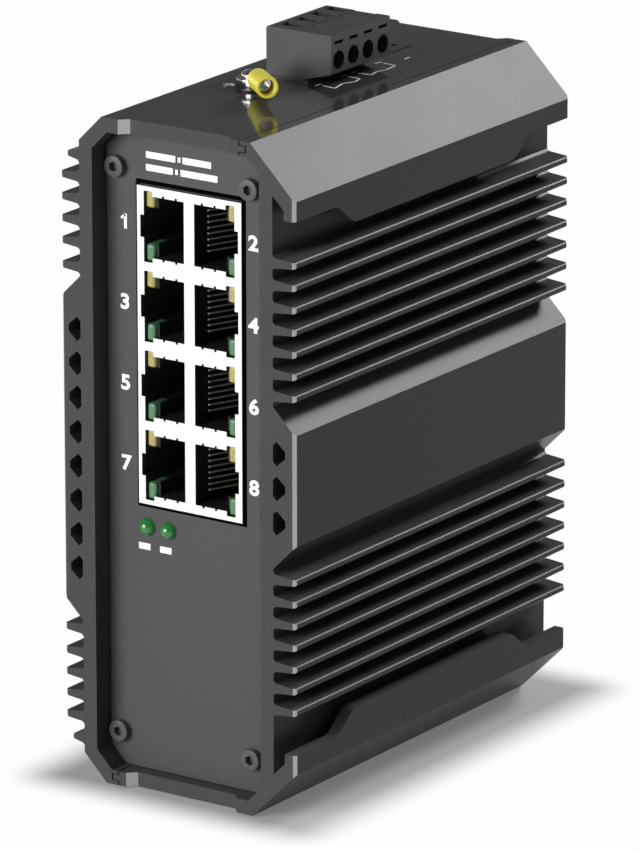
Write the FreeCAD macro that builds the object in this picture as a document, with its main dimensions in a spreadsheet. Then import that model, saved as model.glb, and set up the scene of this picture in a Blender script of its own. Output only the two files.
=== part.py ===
import FreeCAD, Part
import math
import os
import Sketcher

# DIN rail Ethernet switch: two interlocking finned extrusions close round a
# vertical circuit board, with a recessed plate at each end, a block of eight
# jacks in front, a pluggable power connector and an earth stud on top, and a
# rail clip with a sprung latch behind.
# X runs to the right seen from the jacks, Y to the back and Z up. The origin
# lies under the middle of the part, on the surface that it stands on.

SIZES = [
    # extrusions
    ("body_height", 118.0, "overall height of the extrusions"),
    ("body_depth", 84.0, "length of the extrusions"),
    ("half_span", 24.0, "middle plane to the fin tips"),
    ("wall_face_right", 19.5, "middle plane to the right wall's outside"),
    ("wall_face_left", 20.0, "middle plane to the left wall's outside"),
    ("side_wall", 2.65, "thickness of both side walls"),
    ("cover_wall", 2.55, "thickness of the top and bottom walls"),
    ("corner_cut_right", 8.95, "45 degree corners of the right extrusion"),
    ("corner_cut_left", 4.65, "45 degree corners of the left extrusion"),
    ("corner_run_right", 3.46, "right corner wall, measured upright"),
    ("corner_run_left", 3.68, "left corner wall, measured upright"),
    ("lip_thickness", 2.2, "hooked lips at the right corners"),
    ("lip_root_run", 3.9, "corner wall over the lip's channel, upright"),
    ("lip_reach", 16.2, "full lip, from the top or bottom face"),
    ("lip_short_reach", 12.4, "milled lip near the end faces"),
    ("lip_short_length", 12.3, "length of the milled part of a lip"),
    ("lip_ramp", 5.2, "length of the slope up to the full lip"),
    ("lip_ease", 0.7, "rounding of the slope's corners"),
    ("edge_bevel", 0.55, "bevel of fin tips at the end faces"),
    # interlock between the halves
    ("seam_x", 12.95, "middle plane to the seam"),
    ("groove_depth", 1.3, "depth of the interlock groove"),
    ("seam_gap", 0.25, "end clearance of the tongue and the wall"),
    ("lip_outer", 0.7, "groove's outer lip"),
    ("tongue", 1.0, "thickness of the tongue"),
    ("tongue_gap", 0.15, "clearance beside the tongue"),
    # fins and bands
    ("fin_pitch", 3.84, "spacing of the fins"),
    ("fin_root", 0.9, "half thickness of a fin at its root"),
    ("fin_tip", 0.55, "half thickness of a fin at its tip"),
    ("fin_flare", 0.4, "flare where a fin meets the wall"),
    ("fin_ease", 0.2, "rounding of the tip corners"),
    ("fin_seat", 0.3, "depth by which fins start inside the wall"),
    ("fin_count_right", 7, "fins above and below the right band"),
    ("fin_first_right", 16.05, "middle height to the first right fin"),
    ("fin_near_left", 32.12, "middle height to the left fin at the band"),
    ("fin_first_left", 36.41, "middle height to the next left fin"),
    ("fin_count_left", 4, "further long fins on the left"),
    ("short_fin_reach", 22.3, "middle plane to the short fin's tip"),
    ("band_half_right", 14.2, "half height of the right band's foot"),
    ("band_half_left", 30.6, "half height of the left band's foot"),
    ("cell_pitch", 6.05, "spacing of the hollow cells in the bands"),
    ("cell_foot", 1.45, "half height of a cell at the wall"),
    ("cell_half", 2.15, "largest half height of a cell"),
    ("cell_knee", 0.75, "wall to the cell's widest place"),
    ("cell_depth", 2.5, "wall to the cell's outer side"),
    ("cell_outer", 0.62, "half height of the cell's outer side"),
    ("cell_count_right", 3, "cells in the right band"),
    ("cell_count_left", 8, "cells in the left band"),
    # milled ends of the top and bottom walls
    ("mill_depth", 1.5, "depth of the milled wall edges"),
    ("mill_near", 11.3, "middle plane to the milling's nearer end"),
    ("mill_far", 11.9, "middle plane to the milling's farther end"),
    # end plates
    ("plate_setback", 4.0, "end face to the plate's outside"),
    ("plate_thickness", 1.5, "thickness of both plates"),
    ("plate_gap", 0.15, "clearance round a plate"),
    ("plate_screw_left", 15.0, "middle plane to the left screws"),
    ("plate_screw_right", 12.5, "middle plane to the right screws"),
    ("plate_screw_low", 8.6, "height of the lower screws"),
    ("plate_screw_high", 108.8, "height of the upper screws"),
    ("boss_radius", 2.0, "screw ports of the extrusions"),
    ("boss_web", 1.2, "half thickness of the port's web"),
    ("screw_bore", 1.0, "radius of the screw ports' bore"),
    ("screw_shank", 0.95, "radius of the plate screws"),
    ("screw_length", 8.0, "length of the plate screws"),
    ("screw_head", 1.9, "radius of the screw heads"),
    ("screw_head_height", 1.2, "height of the screw heads"),
    ("screw_socket", 0.9, "screw sockets, across the corners, halved"),
    ("screw_socket_depth", 0.8, "depth of the socket"),
    # jack block
    ("jack_middle", 78.2, "height of the middle of the jack block"),
    ("jack_half_width", 10.68, "half width of the face frame"),
    ("jack_half_height", 27.95, "half height of the face frame"),
    ("jack_proud", 0.35, "face frame in front of the plate"),
    ("jack_gap", 0.5, "gap beside the face frame"),
    ("jack_gap_rise", 0.35, "gap above and below the face frame"),
    ("jack_face", 0.8, "thickness of the face frame"),
    ("jack_shell_half", 10.5, "half width of the shell behind it"),
    ("jack_shell_wall", 0.3, "sheet of the shell"),
    ("jack_depth", 26.0, "length of the jack block"),
    ("port_pitch", 13.97, "spacing of the jacks"),
    ("port_floor", 1.05, "middle plane to the contact side of a jack"),
    ("port_body", 7.5, "middle plane to the plug body's far side"),
    ("port_step", 9.3, "middle plane to the wide step of the catch"),
    ("port_catch", 10.03, "middle plane to the catch slot's floor"),
    ("port_half", 5.38, "half height of the opening"),
    ("port_lamp_half", 6.2, "half height over the lamp windows"),
    ("port_step_half", 3.1, "half height of the wide step"),
    ("port_catch_half", 1.95, "half height of the catch slot"),
    ("tooth_first", 2.45, "middle plane to the first small notch"),
    ("tooth_second", 5.05, "middle plane to the second small notch"),
    ("tooth_width", 0.45, "width of a small notch"),
    ("tooth_depth", 0.36, "depth of a small notch"),
    ("insert_half", 6.93, "half height of a jack insert"),
    ("insert_gap", 0.05, "clearance round a jack insert"),
    ("cavity_depth", 13.5, "depth of the plug cavity"),
    ("contact_pitch", 1.016, "spacing of the contacts"),
    ("contact_half", 0.22, "half width of a contact"),
    ("contact_thick", 0.38, "thickness of a contact"),
    ("contact_start", 2.9, "face frame's back to the contact tips"),
    ("contact_end", 11.2, "face frame's back to the contact's bend"),
    ("contact_lift", 3.7, "rise of a contact over the cavity floor"),
    ("lens_gap", 0.06, "clearance of a lamp lens"),
    ("lens_set", 0.5, "lens behind the face frame's front"),
    ("lens_length", 3.6, "length of a lamp lens"),
    ("lens_ease", 0.3, "bevel of a lamp lens"),
    ("lens_show", 0.4, "side of a lens that is bare behind the face frame"),
    ("lens_wall", 0.4, "insert's wall beside a lens"),
    # power lamps
    ("lamp_radius", 1.5, "power lamps"),
    ("lamp_left", 9.2, "middle plane to the first power lamp"),
    ("lamp_right", 4.8, "middle plane to the second power lamp"),
    ("lamp_height", 46.15, "height of the power lamps"),
    ("lamp_gap", 0.06, "clearance round a power lamp"),
    ("lamp_tail", 2.6, "lamp body behind its dome"),
    # earth stud
    ("earth_x", -5.2, "earth screw, across"),
    ("earth_y", 30.2, "earth screw, behind the front"),
    ("earth_bore", 1.3, "bore for the earth screw"),
    ("earth_shank", 1.22, "radius of the earth screw"),
    ("earth_washer", 3.1, "radius of the washer"),
    ("earth_washer_height", 0.4, "thickness of the washer"),
    ("earth_nut", 2.07, "radius of the spacer nut"),
    ("earth_nut_height", 1.25, "height of the spacer nut"),
    ("earth_head_height", 0.75, "straight part of the screw head"),
    ("earth_dome", 0.45, "rounded part of the screw head"),
    ("ring_radius", 3.0, "ring of the terminal"),
    ("ring_thickness", 0.3, "sheet of the terminal"),
    ("terminal_turn", 45.0, "barrel's direction, from X towards the front"),
    ("terminal_tilt", 5.0, "upward tilt of the barrel"),
    ("barrel_start", 4.0, "earth screw to the sleeve's end"),
    ("barrel_lift", 1.0, "barrel's middle over the ring's underside"),
    ("barrel_radius", 1.18, "outside of the metal barrel"),
    ("barrel_wall", 0.27, "wall of the metal barrel"),
    ("barrel_length", 6.2, "length of the metal barrel"),
    ("sleeve_radius", 1.9, "outside of the insulating sleeve"),
    ("sleeve_wall", 0.55, "wall of the sleeve"),
    ("sleeve_length", 9.0, "length of the sleeve"),
    # power connector
    ("flange_front", 37.9, "header flange's front edge"),
    ("flange_length", 31.9, "length of the header flange"),
    ("flange_left", -9.0, "header flange's left edge"),
    ("flange_right", 0.7, "header flange's right edge"),
    ("flange_thickness", 0.35, "thickness of the flange"),
    ("flange_hole", 0.6, "radius of the flange's fixing hole"),
    ("flange_hole_inset", 2.3, "hole to the flange's rear and right edges"),
    ("header_left", -7.7, "header block, left side"),
    ("header_right", -0.6, "header block, right side"),
    ("header_front", 40.1, "header block, front side"),
    ("header_length", 14.9, "length of the header block"),
    ("header_gap", 0.1, "clearance in the top wall's opening"),
    ("header_drop", 9.0, "header block under the top face"),
    ("header_foot", 4.0, "height of the header's foot"),
    ("pin_side", 1.0, "square pins"),
    ("pin_x", -1.9, "pins, across"),
    ("pin_rise", 5.6, "pins above the flange"),
    ("pole_pitch", 4.45, "spacing of the poles"),
    ("pole_count", 4, "poles"),
    ("pole_first", 40.55, "first pole, behind the front"),
    ("plug_front", 38.3, "plug's front side"),
    ("plug_length", 17.8, "length of the plug"),
    ("plug_left", -8.2, "plug's left side"),
    ("plug_right", 5.2, "plug's wire side"),
    ("plug_height", 8.5, "height of the plug"),
    ("plug_slant_start", -1.0, "where the underside starts to rise"),
    ("plug_slant", 1.75, "rise of the underside at the wire side"),
    ("plug_ease", 0.25, "bevel of the plug's left edge"),
    ("wire_bore", 1.65, "radius of a wire entry"),
    ("wire_height", 3.95, "wire entry over the flange"),
    ("wire_depth", 4.1, "depth of a wire entry"),
    ("test_slot_width", 2.5, "small slots over the wire entries"),
    ("test_slot_height", 0.6, "height of a small slot"),
    ("test_slot_rise", 7.05, "small slot over the flange"),
    ("test_slot_depth", 1.4, "depth of a small slot"),
    ("window_left", -6.85, "screw window, left side"),
    ("window_right", -2.9, "screw window, right side"),
    ("window_width", 2.3, "screw window along the plug"),
    ("window_shift", 0.95, "window behind the pole's middle"),
    ("window_depth", 5.0, "depth of a screw window"),
    ("label_left", -2.0, "flat field, left side"),
    ("label_right", 2.5, "flat field, right side"),
    ("label_width", 3.7, "flat field along the plug"),
    ("label_shift", 0.75, "flat field behind the pole's middle"),
    ("label_depth", 0.12, "depth of a flat field"),
    ("pin_bore_gap", 0.2, "clearance of a pin in the plug"),
    ("clamp_side", 2.1, "square clamp in a wire entry"),
    ("clamp_length", 1.8, "length of a clamp"),
    ("clamp_gap", 0.1, "clearance of a clamp in the plug"),
    ("clamp_screw", 1.05, "radius of a clamp screw"),
    ("clamp_screw_height", 1.3, "height of a clamp screw"),
    ("clamp_slot", 0.4, "slot in a clamp screw"),
    # board and what it carries
    ("board_thickness", 1.6, "circuit board"),
    ("board_gap", 0.1, "clearance of the board in its guides"),
    ("board_front", 7.0, "board's edge behind the front"),
    ("guide_height", 2.0, "card guides"),
    ("guide_wall", 0.45, "thickness of a card guide"),
    ("guide_end", 6.0, "end face to the end of a guide"),
    ("chip_side", 20.0, "switch chip"),
    ("chip_thickness", 1.6, "thickness of the chip"),
    ("chip_y", 52.0, "chip's middle, behind the front"),
    ("chip_z", 58.0, "height of the chip's middle"),
    ("pad_side", 16.0, "heat pad between chip and wall"),
    ("magnetics_height", 6.0, "transformer modules, off the board"),
    ("magnetics_length", 12.5, "transformer modules, along the board"),
    ("magnetics_width", 10.0, "transformer modules, upright"),
    ("magnetics_y", 33.0, "transformer modules, behind the front"),
    ("capacitor_radius", 4.0, "electrolytic capacitors"),
    ("capacitor_height", 10.0, "height of the capacitors"),
    ("capacitor_y", 66.0, "capacitors, behind the front"),
    ("capacitor_z", 92.0, "upper capacitor's height"),
    ("capacitor_pitch", 11.0, "spacing of the capacitors"),
    # rail clip
    ("rail_middle", 59.0, "height of the rail's middle"),
    ("rail_height", 35.0, "top-hat rail across its flanges"),
    ("rail_slot", 1.3, "room for the rail's flange"),
    ("rail_play", 0.3, "play above and below the rail"),
    ("clip_rise", 1.2, "rail seat behind the end faces"),
    ("clip_half_width", 13.0, "half width of the clip"),
    ("clip_bottom", 29.0, "lower end of the clip"),
    ("clip_top", 88.5, "upper end of the clip"),
    ("hook_height", 5.2, "height of the upper hook"),
    ("hook_thickness", 1.7, "hooks behind the rail's flange"),
    ("hook_overlap", 2.2, "hooks over the rail's flange"),
    ("hook_lead", 0.9, "slope at the hooks' tips"),
    ("slide_half", 7.0, "half width of the latch's slide"),
    ("slide_neck", 5.8, "half width of the latch's neck"),
    ("slide_thickness", 2.4, "thickness of the latch's slide"),
    ("slide_gap", 0.2, "clearance of the latch"),
    ("slide_floor", 1.4, "clip's wall under the latch"),
    ("latch_bottom", 21.5, "lower end of the latch"),
    ("latch_top", 56.0, "upper end of the latch"),
    ("latch_travel", 4.0, "travel of the latch"),
    ("latch_block", 5.7, "height of the latch's hook"),
    ("latch_slot_width", 5.0, "slot for a screwdriver"),
    ("latch_slot_height", 2.2, "height of that slot"),
    ("latch_slot_rise", 2.2, "slot over the latch's end"),
    ("peg_half", 1.1, "half width of the spring's peg"),
    ("peg_height", 1.6, "height of the spring's peg"),
    ("peg_bottom", 44.3, "height of the peg's underside"),
    ("window_half", 1.6, "half width of the spring's window"),
    ("spring_short", 4.0, "length of the spring with the latch open"),
    ("spring_radius", 0.98, "middle radius of the spring"),
    ("spring_wire", 0.2, "radius of the spring's wire"),
    ("spring_pitch", 1.5, "pitch of the spring"),
    ("clip_screw_x", 10.0, "clip's screws, across"),
    ("clip_screw_inset", 3.4, "screws to the clip's ends"),
    ("clip_screw_shank", 1.2, "radius of the clip's screws"),
    ("clip_screw_head", 2.0, "radius of their heads"),
    ("clip_screw_head_height", 1.3, "height of their heads"),
    ("clip_screw_gap", 0.1, "clearance round the clip's screws"),
    ("clip_screw_end", 0.3, "screw end inside the rear plate"),
]

V = FreeCAD.Vector
doc = FreeCAD.newDocument("EthernetSwitch")
sheet = doc.addObject("Spreadsheet::Sheet", "Dims")


class Size:
    """A length with its value and the expression that yields it."""

    def __init__(self, value, text):
        self.value = float(value)
        self.text = text

    def _join(self, other, sign, value):
        return Size(value, "(%s %s %s)" % (self.text, sign, lift(other).text))

    def __add__(self, other):
        return self._join(other, "+", self.value + lift(other).value)

    def __sub__(self, other):
        return self._join(other, "-", self.value - lift(other).value)

    def __mul__(self, other):
        return self._join(other, "*", self.value * lift(other).value)

    def __truediv__(self, other):
        return self._join(other, "/", self.value / lift(other).value)

    def __neg__(self):
        return Size(-self.value, "(-1 * %s)" % self.text)

    def __radd__(self, other):
        return lift(other) + self

    def __rsub__(self, other):
        return lift(other) - self

    def __rmul__(self, other):
        return lift(other) * self


def lift(number):
    if isinstance(number, Size):
        return number
    if number < 0:
        return Size(number, "(-1 * %r)" % abs(float(number)))
    return Size(number, "%r" % float(number))


class Dims:
    """The spreadsheet's cells by alias."""


dims = Dims()
for row, (alias, value, note) in enumerate(SIZES, start=1):
    sheet.set("A%d" % row, note)
    sheet.set("B%d" % row, str(value))
    sheet.setAlias("B%d" % row, alias)
    setattr(dims, alias, Size(value, "Dims.%s" % alias))
doc.recompute()
d = dims

# ---------------------------------------------------------------- helpers

FRONT = -(d.body_depth + d.clip_rise + d.rail_slot + d.hook_thickness) / 2
MID = d.body_height / 2
TOP = d.body_height
parts = {}


def place(thing, x=0.0, y=0.0, z=0.0):
    """Binds an object's position in the part's frame."""
    for axis, size in (("x", x), ("y", FRONT + y), ("z", z)):
        thing.setExpression("Placement.Base." + axis, lift(size).text)


def new_body(name, x=0.0, y=0.0, z=0.0):
    body = doc.addObject("PartDesign::Body", name)
    body.Label = name
    body.AllowCompound = True
    place(body, x, y, z)
    parts[name] = body
    return body


def origin(body, role):
    return [f for f in body.Origin.OriginFeatures if f.Role == role][0]


PLANES = {"X": "YZ_Plane", "Y": "XZ_Plane", "Z": "XY_Plane"}


def new_sketch(body, axis, start):
    """A sketch across the given axis, moved along it to start."""
    sketch = body.newObject("Sketcher::SketchObject", "Profile")
    sketch.AttachmentSupport = [(origin(body, PLANES[axis]), "")]
    sketch.MapMode = "FlatFace"
    offset = -lift(start) if axis == "Y" else lift(start)
    sketch.setExpression("AttachmentOffset.Base.z", offset.text)
    return sketch


def fix(sketch, kind, index, end, size):
    """Ties one coordinate of a point to an expression."""
    size = lift(size)
    number = sketch.addConstraint(
        Sketcher.Constraint(kind, -1, 1, index, end, size.value)
    )
    sketch.setExpression("Constraints[%d]" % number, size.text)


def draw(sketch, outlines):
    """Closed outlines, each point tied to the sheet."""
    for outline in outlines:
        points = [(lift(a), lift(b)) for a, b in outline]
        count = len(points)
        first = sketch.GeometryCount
        for k in range(count):
            a, b = points[k], points[(k + 1) % count]
            sketch.addGeometry(
                Part.LineSegment(
                    V(a[0].value, a[1].value, 0), V(b[0].value, b[1].value, 0)
                ),
                False,
            )
        for k in range(count):
            sketch.addConstraint(
                Sketcher.Constraint(
                    "Coincident", first + k, 2, first + (k + 1) % count, 1
                )
            )
        for k, (a, b) in enumerate(points):
            fix(sketch, "DistanceX", first + k, 1, a)
            fix(sketch, "DistanceY", first + k, 1, b)


def rings(sketch, circles):
    """Circles given as centre and radius."""
    for a, b, radius in circles:
        a, b, radius = lift(a), lift(b), lift(radius)
        index = sketch.addGeometry(
            Part.Circle(V(a.value, b.value, 0), V(0, 0, 1), radius.value), False
        )
        number = sketch.addConstraint(
            Sketcher.Constraint("Radius", index, radius.value)
        )
        sketch.setExpression("Constraints[%d]" % number, radius.text)
        fix(sketch, "DistanceX", index, 3, a)
        fix(sketch, "DistanceY", index, 3, b)


def extrude(body, kind, axis, start, length, outlines=(), circles=()):
    """Pads or pockets outlines from start along the axis."""
    sketch = new_sketch(body, axis, start)
    draw(sketch, outlines)
    rings(sketch, circles)
    feature = body.newObject("PartDesign::" + kind, kind)
    feature.Profile = sketch
    feature.Reversed = (axis == "Y") == (kind == "Pad")
    feature.setExpression("Length", lift(length).text)
    sketch.Visibility = False
    return feature


def pad(body, axis, start, length, *outlines, circles=()):
    return extrude(body, "Pad", axis, start, length, outlines, circles)


def cut(body, axis, start, length, *outlines, circles=()):
    return extrude(body, "Pocket", axis, start, length, outlines, circles)


def repeat(body, feature, axis, count, pitch, back=False):
    """Repeats a feature along an axis of its body."""
    pattern = body.newObject("PartDesign::LinearPattern", "Row")
    pattern.Originals = [feature]
    pattern.Direction = (origin(body, axis + "_Axis"), [""])
    pattern.Reversed = back
    pattern.setExpression("Occurrences", lift(count).text)
    pattern.setExpression("Length", ((lift(count) - 1) * pitch).text)
    body.Tip = pattern
    return pattern


def box(x0, x1, z0, z1):
    return [(x0, z0), (x1, z0), (x1, z1), (x0, z1)]


def polygon(sides, x, z, radius):
    """An even-sided outline: a small shank, its hole, or a hexagon socket."""
    turns = [2 * math.pi * k / sides for k in range(sides)]
    return [
        (x + radius * round(math.cos(turn), 6),
         z + radius * round(math.sin(turn), 6))
        for turn in turns
    ]


def flip(outline):
    """The outline turned half round about the body's middle."""
    return [(-lift(a), TOP - b) for a, b in outline]


def side(outline, sign):
    return [(lift(a) * sign, b) for a, b in outline]


def copies(name, master, places):
    """One node that holds the same piece at several places."""
    links = []
    for x, y, z in places:
        link = doc.addObject("App::Link", name + "_piece")
        link.LinkedObject = master
        place(link, x, y, z)
        links.append(link)
    group = doc.addObject("Part::Compound", name)
    group.Label = name
    group.Links = links
    parts[name] = group
    return group


def master_body(name):
    """A piece that is only shown through its copies."""
    body = doc.addObject("PartDesign::Body", name + "_shape")
    body.AllowCompound = True
    return body


# ------------------------------------------------------------- extrusions

right_flat = d.half_span - d.corner_cut_right
left_flat = d.wall_face_left - d.corner_cut_left
inner_right = d.wall_face_right - d.side_wall
inner_left = d.wall_face_left - d.side_wall
lip_inner = d.half_span - d.lip_thickness
groove_root = d.seam_x + d.groove_depth
tongue_tip = groove_root - d.seam_gap
wall_end = d.seam_x - d.seam_gap
tongue_top = TOP - d.lip_outer - d.tongue_gap
groove_low = tongue_top - d.tongue - d.tongue_gap
ceiling = TOP - d.cover_wall
corner_x_right = right_flat + d.cover_wall - d.corner_run_right
corner_z_right = TOP - (inner_right - right_flat) - d.corner_run_right
corner_x_left = left_flat + d.cover_wall - d.corner_run_left
corner_z_left = TOP - (inner_left - left_flat) - d.corner_run_left

# end of a wall with the tongue, and with the groove, at the upper seam
tongue_end = [
    (wall_end, TOP),
    (wall_end, tongue_top),
    (tongue_tip, tongue_top),
    (tongue_tip, tongue_top - d.tongue),
    (wall_end, tongue_top - d.tongue),
    (wall_end, ceiling),
]
groove_end = [
    (d.seam_x, ceiling),
    (d.seam_x, groove_low),
    (groove_root, groove_low),
    (groove_root, TOP - d.lip_outer),
    (d.seam_x, TOP - d.lip_outer),
    (d.seam_x, TOP),
]
# the right corner with its hooked lip, from the top wall to the side wall
hooked_corner = [
    (right_flat, TOP),
    (d.half_span, TOP - d.corner_cut_right),
    (d.half_span, TOP - d.lip_reach),
    (lip_inner, TOP - d.lip_reach),
    (lip_inner, TOP - (lip_inner - right_flat) - d.lip_root_run),
    (
        d.wall_face_right,
        TOP - (d.wall_face_right - right_flat) - d.lip_root_run,
    ),
]
inside_right = [(inner_right, corner_z_right), (corner_x_right, ceiling)]
plain_corner = [(-d.wall_face_left, TOP - d.corner_cut_left), (-left_flat, TOP)]
inside_left = [(-corner_x_left, ceiling), (-inner_left, corner_z_left)]


def mirror_down(outline):
    """The outline mirrored about the middle height."""
    return [(a, TOP - b) for a, b in outline]


right_outline = (
    groove_end
    + hooked_corner
    + mirror_down(hooked_corner)[::-1]
    + flip(tongue_end)
    + mirror_down(inside_right)[::-1]
    + inside_right
)
left_outline = (
    plain_corner
    + tongue_end
    + inside_left
    + mirror_down(inside_left)[::-1]
    + flip(groove_end)
    + mirror_down(plain_corner)[::-1]
)


def fin(wall, tip, height):
    """Outline of one tapered fin that stands out from a wall."""
    half = [
        (wall - d.fin_seat, d.fin_root + d.fin_flare),
        (wall, d.fin_root + d.fin_flare),
        (wall + d.fin_flare, d.fin_root),
        (tip - d.fin_ease, d.fin_tip),
        (tip, d.fin_tip - d.fin_ease),
    ]
    upper = [(a, height + b) for a, b in half]
    lower = [(a, height - b) for a, b in half]
    return upper + lower[::-1]


def band(wall, half):
    """Outline of the wide raised band with sloped sides."""
    face = half - (d.half_span - wall)
    return [
        (wall - d.fin_seat, MID - half),
        (wall, MID - half),
        (d.half_span, MID - face),
        (d.half_span, MID + face),
        (wall, MID + half),
        (wall - d.fin_seat, MID + half),
    ]


def cell(wall, height):
    """Outline of one hollow cell of a band."""
    return [
        (wall, height - d.cell_foot),
        (wall + d.cell_knee, height - d.cell_half),
        (wall + d.cell_depth, height - d.cell_outer),
        (wall + d.cell_depth, height + d.cell_outer),
        (wall + d.cell_knee, height + d.cell_half),
        (wall, height + d.cell_foot),
    ]


def finned_wall(body, sign, wall, half, cells):
    """The band with its cells on one side wall."""
    length = d.body_depth
    pad(body, "Y", 0, length, side(band(wall, half), sign))
    low = MID - d.cell_pitch * (cells - 1) / 2
    hollow = cut(body, "Y", 0, length, side(cell(wall, low), sign))
    repeat(body, hollow, "Z", cells, d.cell_pitch)


def fin_row(body, sign, wall, tip, first, count, up):
    """A row of fins away from the middle height."""
    height = MID + first if up else MID - first
    one = pad(body, "Y", 0, d.body_depth, side(fin(wall, tip, height), sign))
    if count is not None:
        repeat(body, one, "Z", count, d.fin_pitch, back=not up)


def bevel_ends(body, sign):
    """Bevels the fin tips, band and lips where the ends were cut."""
    over = d.edge_bevel
    near = [
        (d.half_span - d.edge_bevel - over, -over),
        (d.half_span + over, d.edge_bevel + over),
        (d.half_span + over, -over),
    ]
    far = [(a, d.body_depth - b) for a, b in near]
    cut(body, "Z", -1, TOP + 2, side(near, sign), side(far, sign))


def mill_wall(body, low, near, far):
    """Mills the wall's end edges back between two 45 degree ends."""
    over = d.plate_gap
    front = [
        (-near - over, -over),
        (-near + d.mill_depth, d.mill_depth),
        (far - d.mill_depth, d.mill_depth),
        (far + over, -over),
    ]
    rear = [(a, d.body_depth - b) for a, b in front]
    start = -over if low else ceiling
    cut(body, "Z", start, d.cover_wall + over, front, rear)


def screw_port(body, sign, inner, x, height):
    """A screw port that a web joins to the side wall."""
    start = d.plate_setback + d.plate_thickness
    length = d.body_depth - start * 2
    web = box(x * sign, (inner + d.fin_seat) * sign, height - d.boss_web,
              height + d.boss_web)
    pad(body, "Y", start, length, web)
    pad(body, "Y", start, length,
        polygon(8, x * sign, height, d.boss_radius))
    cut(body, "Y", 0, d.body_depth,
        polygon(8, x * sign, height, d.screw_bore))


board_right = -d.jack_shell_half
board_left = board_right - d.board_thickness


def card_guides(body, z0, z1):
    """The two ribs that hold one edge of the board."""
    length = d.body_depth - d.guide_end * 2
    left = board_left - d.board_gap
    right = board_right + d.board_gap
    pad(body, "Y", d.guide_end, length,
        box(left - d.guide_wall, left, z0, z1),
        box(right, right + d.guide_wall, z0, z1))


right = new_body("right_housing")
pad(right, "Y", 0, d.body_depth, right_outline)
fin_row(right, 1, d.wall_face_right, d.half_span, d.fin_first_right,
        d.fin_count_right, True)
fin_row(right, 1, d.wall_face_right, d.half_span, d.fin_first_right,
        d.fin_count_right, False)
finned_wall(right, 1, d.wall_face_right, d.band_half_right, d.cell_count_right)
for height in (d.plate_screw_high, d.plate_screw_low):
    screw_port(right, 1, inner_right, d.plate_screw_right, height)
card_guides(right, d.cover_wall - d.plate_gap, d.cover_wall + d.guide_height)
mill_wall(right, True, d.mill_near, d.mill_far)
bevel_ends(right, 1)

# the lips are milled shorter near both ends, with eased slopes between
slope = (d.lip_reach - d.lip_short_reach) / d.lip_ramp
lip_cut = [
    (-d.lip_ease, d.lip_short_reach),
    (d.lip_short_length - d.lip_ease, d.lip_short_reach),
    (d.lip_short_length + d.lip_ease,
     d.lip_short_reach + slope * d.lip_ease / 2),
    (d.lip_short_length + d.lip_ramp - d.lip_ease,
     d.lip_reach - slope * d.lip_ease),
    (d.lip_short_length + d.lip_ramp + d.lip_ease, d.lip_reach),
    (d.lip_short_length + d.lip_ramp + d.lip_ease, d.lip_reach + d.lip_ease),
    (-d.lip_ease, d.lip_reach + d.lip_ease),
]
back_cut = [(d.body_depth - a, b) for a, b in lip_cut]
top_cuts = [[(a, TOP - b) for a, b in c] for c in (lip_cut, back_cut)]
for outlines in ((lip_cut, back_cut), top_cuts):
    cut(right, "X", lip_inner - d.seam_gap, d.lip_thickness + 1, *outlines)

left = new_body("left_housing")
pad(left, "Y", 0, d.body_depth, left_outline)
for up in (True, False):
    fin_row(left, -1, d.wall_face_left, d.half_span, d.fin_near_left, None, up)
    fin_row(left, -1, d.wall_face_left, d.half_span, d.fin_first_left,
            d.fin_count_left, up)
    fin_row(left, -1, d.wall_face_left, d.short_fin_reach,
            d.fin_first_left + d.fin_pitch * d.fin_count_left, None, up)
finned_wall(left, -1, d.wall_face_left, d.band_half_left, d.cell_count_left)
for height in (d.plate_screw_high, d.plate_screw_low):
    screw_port(left, -1, inner_left, d.plate_screw_left, height)
card_guides(left, ceiling - d.guide_height, ceiling + d.plate_gap)
mill_wall(left, False, d.mill_far, d.mill_near)
bevel_ends(left, -1)
header_rear = d.header_front + d.header_length
cut(left, "Z", ceiling - 1, d.cover_wall + 2,
    box(d.header_left - d.header_gap, d.header_right + d.header_gap,
        d.header_front - d.header_gap, header_rear + d.header_gap))
cut(left, "Z", ceiling - 1, d.cover_wall + 2,
    polygon(8, d.earth_x, d.earth_y, d.earth_bore))

# ------------------------------------------------------------- end plates

gap = d.plate_gap
plate_outline = [
    (-inner_left + gap, TOP - corner_z_left + gap),
    (-corner_x_left + gap, d.cover_wall + gap),
    (corner_x_right - gap, d.cover_wall + gap),
    (inner_right - gap, TOP - corner_z_right + gap),
    (inner_right - gap, corner_z_right - gap),
    (corner_x_right - gap, ceiling - gap),
    (-corner_x_left + gap, ceiling - gap),
    (-inner_left + gap, corner_z_left - gap),
]
plate_screws = [
    (x, height)
    for x in (-d.plate_screw_left, d.plate_screw_right)
    for height in (d.plate_screw_low, d.plate_screw_high)
]
plate_holes = [polygon(8, x, z, d.screw_bore) for x, z in plate_screws]

front_plate = new_body("front_panel", y=d.plate_setback)
pad(front_plate, "Y", 0, d.plate_thickness, plate_outline)
cut(front_plate, "Y", 0, d.plate_thickness,
    box(-d.jack_half_width - d.jack_gap, d.jack_half_width + d.jack_gap,
        d.jack_middle - d.jack_half_height - d.jack_gap_rise,
        d.jack_middle + d.jack_half_height + d.jack_gap_rise))
lamp_hole = d.lamp_radius + d.lamp_gap
cut(front_plate, "Y", 0, d.plate_thickness, *plate_holes,
    circles=[(-d.lamp_left, d.lamp_height, lamp_hole),
             (-d.lamp_right, d.lamp_height, lamp_hole)])

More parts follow.
